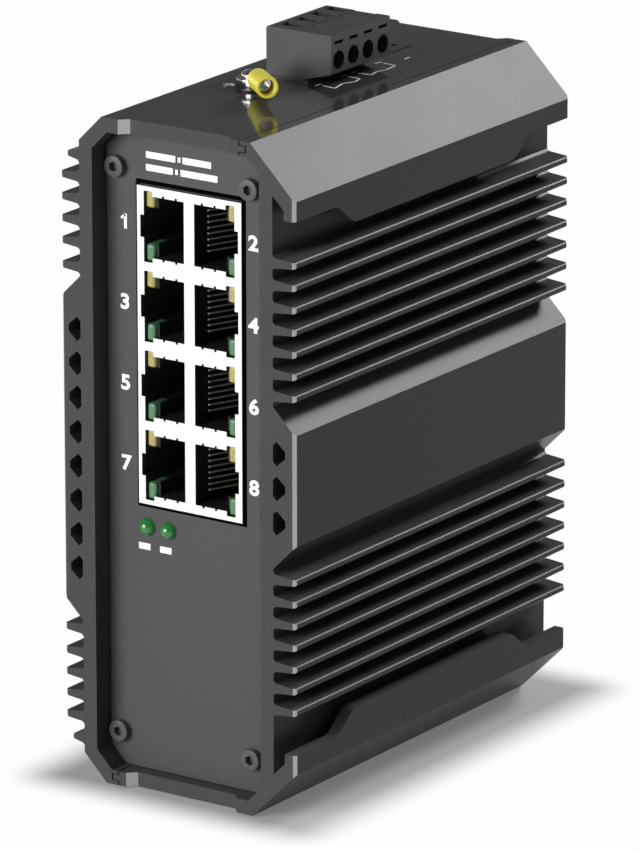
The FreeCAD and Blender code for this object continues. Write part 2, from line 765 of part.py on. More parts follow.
rear_face = d.body_depth - d.plate_setback
clip_screws = [
    (x, height)
    for x in (-d.clip_screw_x, d.clip_screw_x)
    for height in (d.clip_bottom + d.clip_screw_inset,
                   d.clip_top - d.clip_screw_inset)
]
rear_plate = new_body("rear_panel", y=rear_face - d.plate_thickness)
pad(rear_plate, "Y", 0, d.plate_thickness, plate_outline)
clip_holes = [polygon(8, x, z, d.clip_screw_shank + d.clip_screw_gap)
              for x, z in clip_screws]
cut(rear_plate, "Y", 0, d.plate_thickness, *plate_holes, *clip_holes)


def cap_screw(name, shank, length, head, head_height, socket, depth):
    """Screw along Y, its head in front of the seat at Y = 0."""
    body = master_body(name)
    pad(body, "Y", 0, length, polygon(8, 0, 0, shank))
    pad(body, "Y", -head_height, head_height, circles=[(0, 0, head)])
    cut(body, "Y", -head_height, depth, polygon(6, 0, 0, socket))
    return body


plate_screw = cap_screw("plate_screw", d.screw_shank, d.screw_length,
                        d.screw_head, d.screw_head_height, d.screw_socket,
                        d.screw_socket_depth)
copies("front_panel_screws", plate_screw,
       [(x, d.plate_setback, height) for x, height in plate_screws])


def turned(name, master, places):
    """Copies of a screw that point the other way along Y."""
    group = copies(name, master, places)
    for link in group.Links:
        link.Placement.Rotation = FreeCAD.Rotation(V(0, 0, 1), 180)
    return group


turned("rear_panel_screws", plate_screw,
       [(x, rear_face, height) for x, height in plate_screws])

# ------------------------------------------------------------- jack block

jack_front = d.plate_setback - d.jack_proud


def tooth(start, sign):
    """A small notch in the edge of a jack's opening."""
    edge = d.port_half * sign
    tip = (d.port_half + d.tooth_depth) * sign
    return [(start, edge), (start, tip), (start + d.tooth_width, tip),
            (start + d.tooth_width, edge)]


upper_edge = [
    (d.port_floor, d.port_half),
    *tooth(d.tooth_first, 1),
    *tooth(d.tooth_second, 1),
    (d.port_body, d.port_half),
    (d.port_body, d.port_lamp_half),
    (d.port_step, d.port_lamp_half),
    (d.port_step, d.port_catch_half),
    (d.port_catch, d.port_catch_half),
]
opening = upper_edge + [(a, -b) for a, b in upper_edge[::-1]]

shell = new_body("jack_shell", y=jack_front, z=d.jack_middle)
pad(shell, "Y", 0, d.jack_face,
    box(-d.jack_half_width, d.jack_half_width, -d.jack_half_height,
        d.jack_half_height))
shell_half = d.insert_half + d.insert_gap + d.port_pitch * 1.5
sheet_half = shell_half + d.jack_shell_wall
room = d.jack_shell_half - d.jack_shell_wall
pad(shell, "Y", d.jack_face, d.jack_depth - d.jack_face,
    box(-d.jack_shell_half, d.jack_shell_half, -sheet_half, sheet_half),
    box(-room, room, -shell_half, shell_half))
for sign in (1, -1):
    low = d.port_pitch * -1.5
    outline = [(a, low + b) for a, b in side(opening, sign)]
    hole = cut(shell, "Y", 0, d.jack_face, outline)
    repeat(shell, hole, "Z", 4, d.port_pitch)

insert_side = room - d.insert_gap
lens_side = d.port_body - d.lens_gap
cavity_side = lens_side - d.lens_wall
cavity_half = [
    (d.port_floor, d.port_half),
    (cavity_side, d.port_half),
    (cavity_side, d.port_step_half),
    (d.port_step, d.port_step_half),
    (d.port_step, d.port_catch_half),
    (d.port_catch - d.lens_gap, d.port_catch_half),
]
cavity = cavity_half + [(a, -b) for a, b in cavity_half[::-1]]
insert_start = d.jack_face
insert_length = d.jack_depth - d.jack_face - d.insert_gap
lens_back = d.lens_set + d.lens_length


def jack(number, row, sign):
    """One jack: its insert and its eight contacts."""
    height = d.jack_middle + d.port_pitch * (1.5 - row)
    body = new_body("port_insert_%d" % number, y=jack_front, z=height)
    pad(body, "Y", insert_start, insert_length,
        side(box(d.insert_gap, insert_side, -d.insert_half, d.insert_half),
             sign))
    cut(body, "Y", insert_start, d.cavity_depth, side(cavity, sign))
    cut(body, "Y", insert_start, d.lens_show,
        side(box(d.port_floor, lens_side, -d.port_half, d.port_half), sign))
    pockets = [
        side(box(lens_side, d.port_step + d.lens_gap, low, high), sign)
        for low, high in ((d.port_step_half, d.port_lamp_half + d.lens_gap),
                          (-d.port_lamp_half - d.lens_gap, -d.port_step_half))
    ]
    cut(body, "Y", insert_start, lens_back - d.jack_face, *pockets)

    blades = new_body("port_contacts_%d" % number, y=jack_front, z=height)
    start = insert_start + d.contact_start
    bend = insert_start + d.contact_end
    back = insert_start + d.cavity_depth
    foot = d.port_floor + d.insert_gap
    rise = foot + d.contact_lift
    blade = [
        (foot, start),
        (foot + d.contact_thick, start - d.insert_gap * 2),
        (rise + d.contact_thick, bend),
        (rise + d.contact_thick, back),
        (rise, back),
        (rise, bend + d.insert_gap * 2),
    ]
    low = d.contact_pitch * -3.5 - d.contact_half
    one = pad(blades, "Z", low, d.contact_half * 2, side(blade, sign))
    repeat(blades, one, "Z", 8, d.contact_pitch)


for row in range(4):
    jack(2 * row + 1, row, -1)
    jack(2 * row + 2, row, 1)

lens = master_body("lens")
lens_x0 = d.port_body + d.lens_gap
lens_x1 = d.port_step - d.lens_gap
lens_z0 = d.port_step_half + d.lens_gap
lens_z1 = d.port_lamp_half - d.lens_gap
lens_half = (lens_x1 - lens_x0) / 2
lens_rise = (lens_z1 - lens_z0) / 2
lens_x = (lens_x0 + lens_x1) / 2
lens_z = (lens_z0 + lens_z1) / 2
pad(lens, "Y", 0, d.lens_length, box(-lens_half, lens_half, -lens_rise,
                                     lens_rise))
doc.recompute()
lens_edges = [
    "Edge%d" % (number + 1)
    for number, edge in enumerate(lens.Tip.Shape.Edges)
    if edge.BoundBox.YMin < 0.01
]
blank = lens.Tip
bevel = lens.newObject("PartDesign::Chamfer", "Bevel")
bevel.Base = (blank, lens_edges)
bevel.setExpression("Size", d.lens_ease.text)
lens.Tip = bevel
for name, up in (("speed_led_lenses", 1), ("link_led_lenses", -1)):
    copies(name, lens, [
        (lens_x * sign, jack_front + d.lens_set,
         d.jack_middle + d.port_pitch * (1.5 - row) + lens_z * up)
        for row in range(4)
        for sign in (-1, 1)
    ])

# ------------------------------------------------------------ power lamps


for number, x in ((1, -d.lamp_left), (2, -d.lamp_right)):
    lamp = new_body("power_led_%d" % number, x, d.plate_setback,
                    d.lamp_height)
    outline = new_sketch(lamp, "X", 0)
    draw(outline, [[
        (d.lamp_tail, 0),
        (d.lamp_tail, d.lamp_radius),
        (0, d.lamp_radius),
        (d.lamp_radius * -0.55, d.lamp_radius * 0.84),
        (d.lamp_radius * -0.92, d.lamp_radius * 0.4),
        (-d.lamp_radius, 0),
    ]])
    dome = lamp.newObject("PartDesign::Revolution", "Dome")
    dome.Profile = outline
    dome.ReferenceAxis = (outline, ["H_Axis"])
    dome.Angle = 360

# ------------------------------------------------------------ earth stud


def ring_at(name, outer, height, z):
    """A round ring on the earth screw's shank."""
    body = new_body(name, d.earth_x, d.earth_y, z)
    pad(body, "Z", 0, height, circles=[(0, 0, outer)])
    cut(body, "Z", 0, height, polygon(8, 0, 0, d.earth_bore))


washer_top = TOP + d.earth_washer_height
nut_top = washer_top + d.earth_nut_height
ring_top = nut_top + d.ring_thickness
ring_at("ground_washer", d.earth_washer, d.earth_washer_height, TOP)
ring_at("ground_nut", d.earth_nut, d.earth_nut_height, washer_top)

screw = new_body("ground_screw", d.earth_x, d.earth_y, 0)
outline = new_sketch(screw, "X", 0)
head_low = ring_top
head_high = head_low + d.earth_head_height
crown = head_high + d.earth_dome
draw(outline, [[
    (0, head_low),
    (d.earth_nut, head_low),
    (d.earth_nut, head_high),
    (d.earth_nut * 0.86, head_high + d.earth_dome * 0.55),
    (d.earth_nut * 0.55, head_high + d.earth_dome * 0.9),
    (0, crown),
]])
turning = screw.newObject("PartDesign::Revolution", "Turning")
turning.Profile = outline
turning.ReferenceAxis = (outline, ["V_Axis"])
turning.Angle = 360
pad(screw, "Z", ceiling - 1, head_low - ceiling + 1,
    polygon(8, 0, 0, d.earth_shank))
cut(screw, "Z", crown - d.earth_dome * 1.6, d.earth_dome * 2,
    box(-d.clamp_slot, d.clamp_slot, -d.earth_nut, d.earth_nut))

terminal = new_body("ring_terminal", d.earth_x, d.earth_y, nut_top)
sleeve = new_body("terminal_sleeve", d.earth_x, d.earth_y, nut_top)
for body in (terminal, sleeve):
    body.Placement.Rotation = FreeCAD.Rotation(V(0, 0, -1), 45)
    body.setExpression("Placement.Rotation.Angle", d.terminal_turn.text)
pad(terminal, "Z", 0, d.ring_thickness,
    box(0, d.barrel_start + d.barrel_wall, -d.barrel_radius, d.barrel_radius))
pad(terminal, "Z", 0, d.ring_thickness, circles=[(0, 0, d.ring_radius)])
cut(terminal, "Z", 0, d.ring_thickness, polygon(8, 0, 0, d.earth_bore))


def tilted(body, start, length, outer, inner):
    """A tube along the barrel's tilted axis."""
    sketch = body.newObject("Sketcher::SketchObject", "Profile")
    sketch.AttachmentSupport = [(origin(body, "YZ_Plane"), "")]
    sketch.MapMode = "FlatFace"
    sketch.AttachmentOffset = FreeCAD.Placement(
        V(0, 0, 0), FreeCAD.Rotation(V(1, 0, 0), 5)
    )
    sketch.setExpression("AttachmentOffset.Rotation.Angle",
                         "-1 * " + d.terminal_tilt.text)
    sketch.setExpression("AttachmentOffset.Base.y", d.barrel_lift.text)
    sketch.setExpression("AttachmentOffset.Base.z", start.text)
    rings(sketch, [(0, 0, outer), (0, 0, inner)])
    tube = body.newObject("PartDesign::Pad", "Tube")
    tube.Profile = sketch
    tube.setExpression("Length", length.text)


tilted(terminal, d.barrel_start, d.barrel_length, d.barrel_radius,
       d.barrel_radius - d.barrel_wall)
tilted(sleeve, d.barrel_start + d.barrel_wall, d.sleeve_length,
       d.sleeve_radius, d.sleeve_radius - d.sleeve_wall)

# -------------------------------------------------------- power connector

flange_top = TOP + d.flange_thickness
header = new_body("power_header")
flange_rear = d.flange_front + d.flange_length
pad(header, "Z", TOP, d.flange_thickness,
    box(d.flange_left, d.flange_right, d.flange_front, flange_rear))
pad(header, "Z", TOP - d.header_drop, d.header_drop + d.flange_thickness,
    box(d.header_left, d.header_right, d.header_front, header_rear))
pad(header, "Z", TOP - d.header_drop, d.header_foot,
    box(board_right, d.header_left, d.header_front, header_rear))
cut(header, "Z", TOP - 1, 2,
    circles=[(d.flange_right - d.flange_hole_inset,
              flange_rear - d.flange_hole_inset, d.flange_hole)])
half_pin = d.pin_side / 2
pin_box = box(d.pin_x - half_pin, d.pin_x + half_pin,
              d.pole_first - half_pin, d.pole_first + half_pin)
pin_low = TOP - d.header_drop + 1
pin_hole = cut(header, "Z", pin_low, TOP, pin_box)
repeat(header, pin_hole, "Y", d.pole_count, d.pole_pitch)

pins = new_body("header_pins")
pin = pad(pins, "Z", pin_low, flange_top - pin_low + d.pin_rise, pin_box)
repeat(pins, pin, "Y", d.pole_count, d.pole_pitch)

plug = new_body("power_plug", z=flange_top)
plug_rear = d.plug_front + d.plug_length
pad(plug, "Y", d.plug_front, d.plug_length, [
    (d.plug_left, 0),
    (d.plug_slant_start, 0),
    (d.plug_right, d.plug_slant),
    (d.plug_right, d.plug_height),
    (d.plug_left + d.plug_ease, d.plug_height),
    (d.plug_left, d.plug_height - d.plug_ease),
])
wire = cut(plug, "X", d.plug_right - d.wire_depth, d.wire_depth + 1,
           circles=[(d.pole_first, d.wire_height, d.wire_bore)])
repeat(plug, wire, "Y", d.pole_count, d.pole_pitch)
half_clamp = d.clamp_side / 2
half_nest = half_clamp + d.clamp_gap
clamp_x = d.plug_right - d.wire_depth - d.clamp_length
nest = cut(plug, "X", clamp_x - d.clamp_gap, d.clamp_length + d.clamp_gap + 1,
           box(d.pole_first - half_nest, d.pole_first + half_nest,
               d.wire_height - half_nest, d.wire_height + half_nest))
repeat(plug, nest, "Y", d.pole_count, d.pole_pitch)
half_slot = d.test_slot_width / 2
slot = cut(plug, "X", d.plug_right - d.test_slot_depth, d.test_slot_depth + 1,
           box(d.pole_first - half_slot, d.pole_first + half_slot,
               d.test_slot_rise - d.test_slot_height / 2,
               d.test_slot_rise + d.test_slot_height / 2))
repeat(plug, slot, "Y", d.pole_count, d.pole_pitch)
half_window = d.window_width / 2
window_y = d.pole_first + d.window_shift
window = cut(plug, "Z", d.plug_height - d.window_depth, d.window_depth + 1,
             box(d.window_left, d.window_right, window_y - half_window,
                 window_y + half_window))
repeat(plug, window, "Y", d.pole_count, d.pole_pitch)
half_label = d.label_width / 2
label_y = d.pole_first + d.label_shift
label = cut(plug, "Z", d.plug_height - d.label_depth, d.label_depth + 1,
            box(d.label_left, d.label_right, label_y - half_label,
                label_y + half_label))
repeat(plug, label, "Y", d.pole_count, d.pole_pitch)
half_bore = half_pin + d.pin_bore_gap
socket = cut(plug, "Z", -1, d.pin_rise + 1 + d.pin_bore_gap,
             box(d.pin_x - half_bore, d.pin_x + half_bore,
                 d.pole_first - half_bore, d.pole_first + half_bore))
repeat(plug, socket, "Y", d.pole_count, d.pole_pitch)

clamps = new_body("plug_clamps", z=flange_top)
clamp = pad(clamps, "X", clamp_x, d.clamp_length,
            box(d.pole_first - half_clamp, d.pole_first + half_clamp,
                d.wire_height - half_clamp, d.wire_height + half_clamp))
repeat(clamps, clamp, "Y", d.pole_count, d.pole_pitch)

plug_screws = new_body("plug_screws", z=flange_top)
window_floor = d.plug_height - d.window_depth
window_x = (d.window_left + d.window_right) / 2
clamp_pin = pad(plug_screws, "Z", window_floor, d.clamp_screw_height,
                polygon(8, window_x, window_y, d.clamp_screw))
repeat(plug_screws, clamp_pin, "Y", d.pole_count, d.pole_pitch)
half_groove = d.clamp_slot / 2
groove = cut(plug_screws, "Z",
             window_floor + d.clamp_screw_height - d.clamp_slot,
             d.clamp_slot + 1,
             box(window_x - half_groove, window_x + half_groove,
                 window_y - half_window, window_y + half_window))
repeat(plug_screws, groove, "Y", d.pole_count, d.pole_pitch)

# ------------------------------------------------------------------ board

board_low = d.cover_wall + d.board_gap
board = new_body("main_board")
board_length = d.body_depth - d.board_front - d.guide_end
pad(board, "Y", d.board_front, board_length,
    box(board_left, board_right, board_low, TOP - board_low))

chip = new_body("switch_chip")
half_chip = d.chip_side / 2
pad(chip, "X", board_left - d.chip_thickness, d.chip_thickness,
    box(d.chip_y - half_chip, d.chip_y + half_chip,
        d.chip_z - half_chip, d.chip_z + half_chip))
heat_pad = new_body("thermal_pad")
half_pad = d.pad_side / 2
pad(heat_pad, "X", -inner_left,
    inner_left + board_left - d.chip_thickness,
    box(d.chip_y - half_pad, d.chip_y + half_pad,
        d.chip_z - half_pad, d.chip_z + half_pad))

magnetics = new_body("transformer_modules")
magnetics_low = d.jack_middle - d.port_pitch * 1.5
module = pad(magnetics, "X", board_right, d.magnetics_height,
             box(d.magnetics_y, d.magnetics_y + d.magnetics_length,
                 magnetics_low - d.magnetics_width / 2,
                 magnetics_low + d.magnetics_width / 2))
repeat(magnetics, module, "Z", 4, d.port_pitch)

capacitors = new_body("board_capacitors")
can = pad(capacitors, "X", board_right, d.capacitor_height,
          circles=[(d.capacitor_y, d.capacitor_z, d.capacitor_radius)])
repeat(capacitors, can, "Z", 2, d.capacitor_pitch, back=True)

# -------------------------------------------------------------- rail clip

seat = d.body_depth + d.clip_rise
hook_front = seat + d.rail_slot
hook_back = hook_front + d.hook_thickness
rail_top = d.rail_middle + d.rail_height / 2 + d.rail_play
rail_low = d.rail_middle - d.rail_height / 2 - d.rail_play
slide_front = rear_face + d.slide_floor
slide_back = slide_front + d.slide_thickness + d.slide_gap * 2

clip = new_body("din_clip")
pad(clip, "Y", rear_face, seat - rear_face,
    box(-d.clip_half_width, d.clip_half_width, d.clip_bottom, d.clip_top))
pad(clip, "X", -d.clip_half_width, d.clip_half_width * 2, [
    (seat - d.fin_seat, rail_top),
    (hook_front, rail_top),
    (hook_front, rail_top - d.hook_overlap),
    (hook_front + d.hook_lead, rail_top - d.hook_overlap - d.hook_lead),
    (hook_back, rail_top - d.hook_overlap),
    (hook_back, rail_top + d.hook_height - d.hook_lead),
    (hook_back - d.hook_lead, rail_top + d.hook_height),
    (seat - d.fin_seat, rail_top + d.hook_height),
])
wide = d.slide_half + d.slide_gap
neck = d.slide_neck + d.slide_gap
channel_top = d.latch_top + d.slide_gap * 6
cut(clip, "Z", d.clip_bottom - 1, channel_top - d.clip_bottom + 1, [
    (-wide, slide_front),
    (wide, slide_front),
    (wide, slide_back),
    (neck, slide_back),
    (neck, seat + 1),
    (-neck, seat + 1),
    (-neck, slide_back),
    (-wide, slide_back),
])
peg_top = d.peg_bottom + d.peg_height
pad(clip, "Y", slide_front - d.slide_gap,
    d.slide_thickness + d.slide_gap * 2,
    box(-d.peg_half, d.peg_half, d.peg_bottom, peg_top))
cut(clip, "Y", rear_face, seat - rear_face, *clip_holes)

latch = new_body("din_latch")
latch_front = slide_front + d.slide_gap
latch_back = latch_front + d.slide_thickness
neck_back = seat - d.slide_gap
pad(latch, "Z", d.latch_bottom, d.latch_top - d.latch_bottom, [
    (-d.slide_half, latch_front),
    (d.slide_half, latch_front),
    (d.slide_half, latch_back),
    (d.slide_neck, latch_back),
    (d.slide_neck, neck_back),
    (-d.slide_neck, neck_back),
    (-d.slide_neck, latch_back),
    (-d.slide_half, latch_back),
])
pad(latch, "X", -d.slide_neck, d.slide_neck * 2, [
    (neck_back - d.slide_gap, rail_low - d.latch_block),
    (hook_back, rail_low - d.latch_block),
    (hook_back, rail_low + d.hook_overlap - d.hook_lead),
    (hook_front, rail_low + d.hook_overlap),
    (hook_front, rail_low),
    (neck_back - d.slide_gap, rail_low),
])
opening_low = d.peg_bottom - d.slide_gap
spring_room = d.spring_short + d.latch_travel
opening_high = peg_top + spring_room
cut(latch, "Y", latch_front - 1, neck_back - latch_front + 2,
    box(-d.window_half, d.window_half, opening_low, opening_high))
slot_low = d.latch_bottom + d.latch_slot_rise
cut(latch, "Y", latch_front - 1, neck_back - latch_front + 2,
    box(-d.latch_slot_width / 2, d.latch_slot_width / 2, slot_low,
        slot_low + d.latch_slot_height))

spring_y = latch_front + d.slide_thickness / 2
peg_face = (peg_top + d.spring_wire).value
coil_rise = (spring_room - d.spring_wire * 2).value
coil_radius = d.spring_radius.value
wire = d.spring_wire.value
coil_steps = round(coil_rise / d.spring_pitch.value * 10)


def coil_point(step):
    """A point of the coil; ten straight runs make one turn."""
    turn = math.radians(36 * step)
    return V(coil_radius * math.cos(turn), coil_radius * math.sin(turn),
             coil_rise * step / coil_steps)


coil = Part.makePolygon([coil_point(step) for step in range(coil_steps + 1)])
along = coil_point(1) - coil_point(0)
outward = V(1, 0, 0)
across = along.cross(outward).normalize()
corners = [outward * -wire, across * -wire, outward * wire, across * wire]
section = Part.makePolygon([coil_point(0) + c for c in corners + corners[:1]])
spring = doc.addObject("Part::Feature", "latch_spring")
spring.Label = "latch_spring"
spring.Shape = coil.makePipeShell([section], True, True, 1)
place(spring, 0, spring_y, peg_face)
parts["latch_spring"] = spring

clip_screw_length = seat - rear_face + d.plate_thickness + d.clip_screw_end
clip_screw = cap_screw("clip_screw", d.clip_screw_shank, clip_screw_length,
                       d.clip_screw_head, d.clip_screw_head_height,
                       d.screw_socket, d.screw_socket_depth)
turned("din_clip_screws", clip_screw,
       [(x, seat, z) for x, z in clip_screws])

# ----------------------------------------------------------------- export

doc.recompute()
for thing in doc.Objects:
    if "Invalid" in thing.State or "Error" in thing.State:
        raise RuntimeError("%s (%s) failed" % (thing.Name, thing.Label))
os.makedirs("parts", exist_ok=True)
for name, thing in parts.items():
    shape = Part.getShape(thing)
    if shape.isNull() or not shape.isValid() or not shape.Solids:
        raise RuntimeError("%s has no valid solid" % name)
for name, thing in parts.items():
    Part.getShape(thing).exportStep("parts/%s.step" % name)
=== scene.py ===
"""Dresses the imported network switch: finishes, small parts, markings, stage, lights and camera."""
import math

import bpy
from bpy.props import FloatProperty, FloatVectorProperty, PointerProperty
from mathutils import Matrix, Vector


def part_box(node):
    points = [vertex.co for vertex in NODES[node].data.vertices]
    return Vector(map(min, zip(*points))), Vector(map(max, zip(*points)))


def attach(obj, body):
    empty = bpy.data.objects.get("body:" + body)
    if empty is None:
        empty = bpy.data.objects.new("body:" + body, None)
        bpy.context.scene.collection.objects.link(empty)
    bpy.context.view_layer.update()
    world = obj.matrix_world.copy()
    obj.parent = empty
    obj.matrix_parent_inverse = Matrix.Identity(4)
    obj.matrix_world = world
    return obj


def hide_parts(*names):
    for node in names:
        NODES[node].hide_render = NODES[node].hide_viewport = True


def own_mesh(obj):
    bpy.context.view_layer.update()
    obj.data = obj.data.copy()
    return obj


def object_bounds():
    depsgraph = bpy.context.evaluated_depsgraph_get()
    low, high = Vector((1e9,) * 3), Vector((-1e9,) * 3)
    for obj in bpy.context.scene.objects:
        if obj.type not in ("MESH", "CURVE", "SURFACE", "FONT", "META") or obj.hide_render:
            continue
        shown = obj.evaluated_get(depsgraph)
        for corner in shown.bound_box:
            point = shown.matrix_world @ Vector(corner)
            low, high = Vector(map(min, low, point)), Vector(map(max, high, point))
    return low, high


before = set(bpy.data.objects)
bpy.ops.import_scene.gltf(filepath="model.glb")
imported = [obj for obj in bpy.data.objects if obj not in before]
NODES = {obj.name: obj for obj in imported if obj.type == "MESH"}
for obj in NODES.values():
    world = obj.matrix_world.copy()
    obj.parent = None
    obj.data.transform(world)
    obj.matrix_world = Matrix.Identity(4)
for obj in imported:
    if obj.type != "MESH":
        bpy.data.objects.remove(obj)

bl_info = {
    "name": "Network Switch Dresser",
    "version": (1, 0, 0),
    "blender": (4, 5, 0),
    "location": "3D View > Sidebar > Switch",
    "description": "Finish, small parts, markings and stage of a rail-mounted network switch",
    "category": "Object",
}

MM = 0.001
PACKED_BOX = [list(corner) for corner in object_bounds()]
PORTS = range(1, 9)

# node, name of the piece, way the heads face along Y, height and radius of a head in mm
CAP_SCREWS = (("front_panel_screws", "front_cap_screws", -1, 1.2, 1.9),
              ("rear_panel_screws", "rear_cap_screws", 1, 1.2, 1.9),
              ("din_clip_screws", "clip_cap_screws", 1, 1.3, 2.0))
SOCKET_RADIUS = 0.9 * MM

BLADE_WIDTH = 0.44 * MM  # width of a packed contact along Z
WIRE_SHARE = 0.5  # part of that width that a slim wire keeps
# radius of the white dot painted on each contact tip as a highlight
GLINT_DOT_RADIUS = 0.19 * MM

INK_HALF = 0.01 * MM  # half thickness of a printed mark
ODD_COLUMN, EVEN_COLUMN = -13.55 * MM, 12.9 * MM  # places of the jack numbers along X
UPPER_LEGEND, LOWER_LEGEND = 5.15 * MM, 2.95 * MM  # heights over the jack frame
# start, end and height of each legend bar in mm
UPPER_BARS = ((-9.0, -2.95, 1.15), (-2.45, -1.9, 0.9), (-1.5, 4.35, 1.15))
LOWER_BARS = ((-9.0, -3.5, 1.15), (-3.0, -2.45, 0.9), (-1.9, 5.65, 1.15))
# reach of the black strips round the jack frame, in mm: painted shadow for the gap round the frame
GAP_SHADOW_LEFT, GAP_SHADOW_RIGHT, GAP_SHADOW_BELOW, GAP_SHADOW_ABOVE = 0.4, 0.75, 0.35, 0.75
# lines of the marks on top, as X and the distance from the front edge in mm
TOP_LINES = (((2.57, 37.6), (2.55, 38.9)),
             ((2.4, 45.4), (2.8, 46.3)),
             ((2.6, 48.2), (2.7, 49.6)),
             ((2.3, 56.1), (2.6, 57.3)),
             ((4.75, 61.5), (4.7, 62.8)),
             ((3.5, 38.3), (6.2, 37.9), (5.5, 41.4), (6.5, 43.4), (6.1, 45.8), (3.6, 45.8)),
             ((3.6, 48.9), (6.1, 48.9), (5.7, 51.7), (6.3, 53.0), (6.0, 56.8), (3.5, 56.9)))
EARTH_SIGN = (-10.0, 29.8)  # foot of the earth sign's stem, in the same way
EARTH_STEM = 1.4
EARTH_BARS = (1.1, 0.7, 0.3)  # half lengths of its bars

FLOOR_SIZE = 60.0
FLOOR_DROP = 0.2 * MM  # gap between the floor and the case
# distance from the case's footprint over which the contact shadow fades, and how white it gets
SHADOW_START, SHADOW_END = -2.0 * MM, 11.0 * MM
SHADOW_WHITE, OPEN_WHITE = 0.1, 0.98
CAMERA_PLACE = (0.74999, -1.09676, 0.45595)
CAMERA_AIM = (-0.005484, 0.006327, 0.053315)
CAMERA_ROLL = -0.055  # degrees
CAMERA_LENS = 340.2
BROAD_LAMP = ((-0.42, -1.2, 0.38), (0, 0, 0.06), (0.9, 0.7))  # place, aim, size
REAR_LAMP = ((0.349, 1.048, 0.809), (0.02, 0, 0.1), (0.4, 0.4))


# ---------------------------------------------------------------- properties

def colour(name, description, default):
    """A colour property with its default."""
    return FloatVectorProperty(name=name, description=description, default=default,
                               size=3, min=0.0, max=1.0, subtype="COLOR")


def length(name, description, default_mm):
    """A length property whose default is given in millimetres."""
    return FloatProperty(name=name, description=description, default=default_mm * MM,
                         min=0.0, precision=5, unit="LENGTH")


class SwitchCaseProperties(bpy.types.PropertyGroup):
    """Finish of the two extrusions and their end plates."""

    metal: colour("Extrusion", "Colour of the dark anodised extrusions", (0.070, 0.070, 0.071))
    top: colour("Top", "Colour of the smoother top face", (0.046, 0.046, 0.047))
    plate: colour("End plate", "Colour of the coated end plates", (0.062, 0.062, 0.063))
    roughness: FloatProperty(name="Roughness", description="Roughness of the anodised metal",
                             default=0.27, min=0.05, max=1.0, subtype="FACTOR")
    # light colour of the bare milled bevels and recess ends, raised so that it also paints in the
    # highlight they catch
    cut: colour("Cut edge", "Colour of the bare milled edges", (0.50, 0.50, 0.51))
    edge: length("Edge radius", "Width of the eased edges of the extrusions", 0.16)


class SwitchJackProperties(bpy.types.PropertyGroup):
    """Finish of the jack block and its lamps."""

    shell: colour("Face frame", "Colour of the jack block's face frame", (0.90, 0.90, 0.90))
    body: colour("Jack body", "Colour of the jack mouldings", (0.020, 0.020, 0.021))
    contact: colour("Contacts", "Colour of the plated contacts", (0.66, 0.62, 0.52))
    speed: colour("Upper lens", "Colour of the upper lamp lenses", (0.36, 0.32, 0.10))
    link: colour("Lower lens", "Colour of the lower lamp lenses", (0.07, 0.19, 0.09))
    power: colour("Power lamps", "Colour of the round power lamps", (0.015, 0.16, 0.03))


class SwitchConnectorProperties(bpy.types.PropertyGroup):
    """Finish of the power connector and the earth terminal."""

    plastic: colour("Plastic", "Colour of the connector mouldings", (0.055, 0.055, 0.056))
    sleeve: colour("Sleeve", "Colour of the terminal's vinyl sleeve", (0.90, 0.80, 0.06))
    plating: colour("Plating", "Colour of the plated hardware", (0.72, 0.71, 0.68))


class SwitchMarkProperties(bpy.types.PropertyGroup):
    """Size and colour of the printed marks."""

    ink: colour("Ink", "Colour of the printed marks", (0.92, 0.92, 0.92))
    digit: length("Digit height", "Height of the jack numbers", 2.65)
    row: length("Row spacing", "Spacing of the jack numbers", 14.22)


class SwitchStageProperties(bpy.types.PropertyGroup):
    """Floor, backdrop and lamps."""

    floor: colour("Floor", "Colour of the floor and backdrop", (0.45, 0.45, 0.45))
    key: FloatProperty(name="Key", description="Power of the broad lamp in front", default=18.5,
                       min=0.0, unit="POWER")
    rear: FloatProperty(name="Rear", description="Power of the lamp behind", default=14.5,
                        min=0.0, unit="POWER")
    world: FloatProperty(name="World", description="Strength of the even light around",
                         default=0.11, min=0.0)


# ---------------------------------------------------------------- mesh helpers

def deselect():
    """Leaves object mode with nothing selected."""
    if bpy.context.object and bpy.context.object.mode != "OBJECT":
        bpy.ops.object.mode_set(mode="OBJECT")
    bpy.ops.object.select_all(action="DESELECT")


def activate(piece):
    """Makes one object the only selected and active one."""
    deselect()
    piece.select_set(True)
    bpy.context.view_layer.objects.active = piece


def edit(piece, mode="VERT"):
    """Enters edit mode on a piece with nothing selected."""
    activate(piece)
    bpy.ops.object.mode_set(mode="EDIT")
    bpy.ops.mesh.select_mode(type=mode)
    bpy.ops.mesh.select_all(action="DESELECT")
    bpy.ops.object.mode_set(mode="OBJECT")


def pick_faces(piece, test):
    """Selects the faces whose centre and normal pass the test, and enters edit mode."""
    edit(piece, "FACE")
    count = 0
    for face in piece.data.polygons:
        face.select = bool(test(face.center, face.normal))
        count += face.select
    if not count:
        raise RuntimeError(f"no face of {piece.name} was picked")
    bpy.ops.object.mode_set(mode="EDIT")


def pick_vertices(piece, test):
    """Selects the vertices that pass the test, and enters edit mode."""
    edit(piece, "VERT")
    for vertex in piece.data.vertices:
        vertex.select = bool(test(vertex.co))
    bpy.ops.object.mode_set(mode="EDIT")


def settle(piece):
    """Moves the object's place, turn and size into its mesh."""
    activate(piece)
    bpy.ops.object.transform_apply(location=True, rotation=True, scale=True)


def add_modifier(piece, kind, **values):
    """Adds a modifier with its values and applies it."""
    activate(piece)
    modifier = piece.modifiers.new(kind.title(), kind)
    for name, value in values.items():
        setattr(modifier, name, value)
    bpy.ops.object.modifier_apply(modifier=modifier.name)


def smooth(piece, degrees=32):
    """Smooth shading with sharp edges kept above an angle."""
    activate(piece)
    bpy.ops.object.shade_smooth_by_angle(angle=math.radians(degrees))


def outward(piece):
    """Merges doubles and turns the faces outwards."""
    edit(piece)
    bpy.ops.object.mode_set(mode="EDIT")
    bpy.ops.mesh.select_all(action="SELECT")
    bpy.ops.mesh.remove_doubles(threshold=1e-7)
    bpy.ops.mesh.normals_make_consistent(inside=False)
    bpy.ops.object.mode_set(mode="OBJECT")


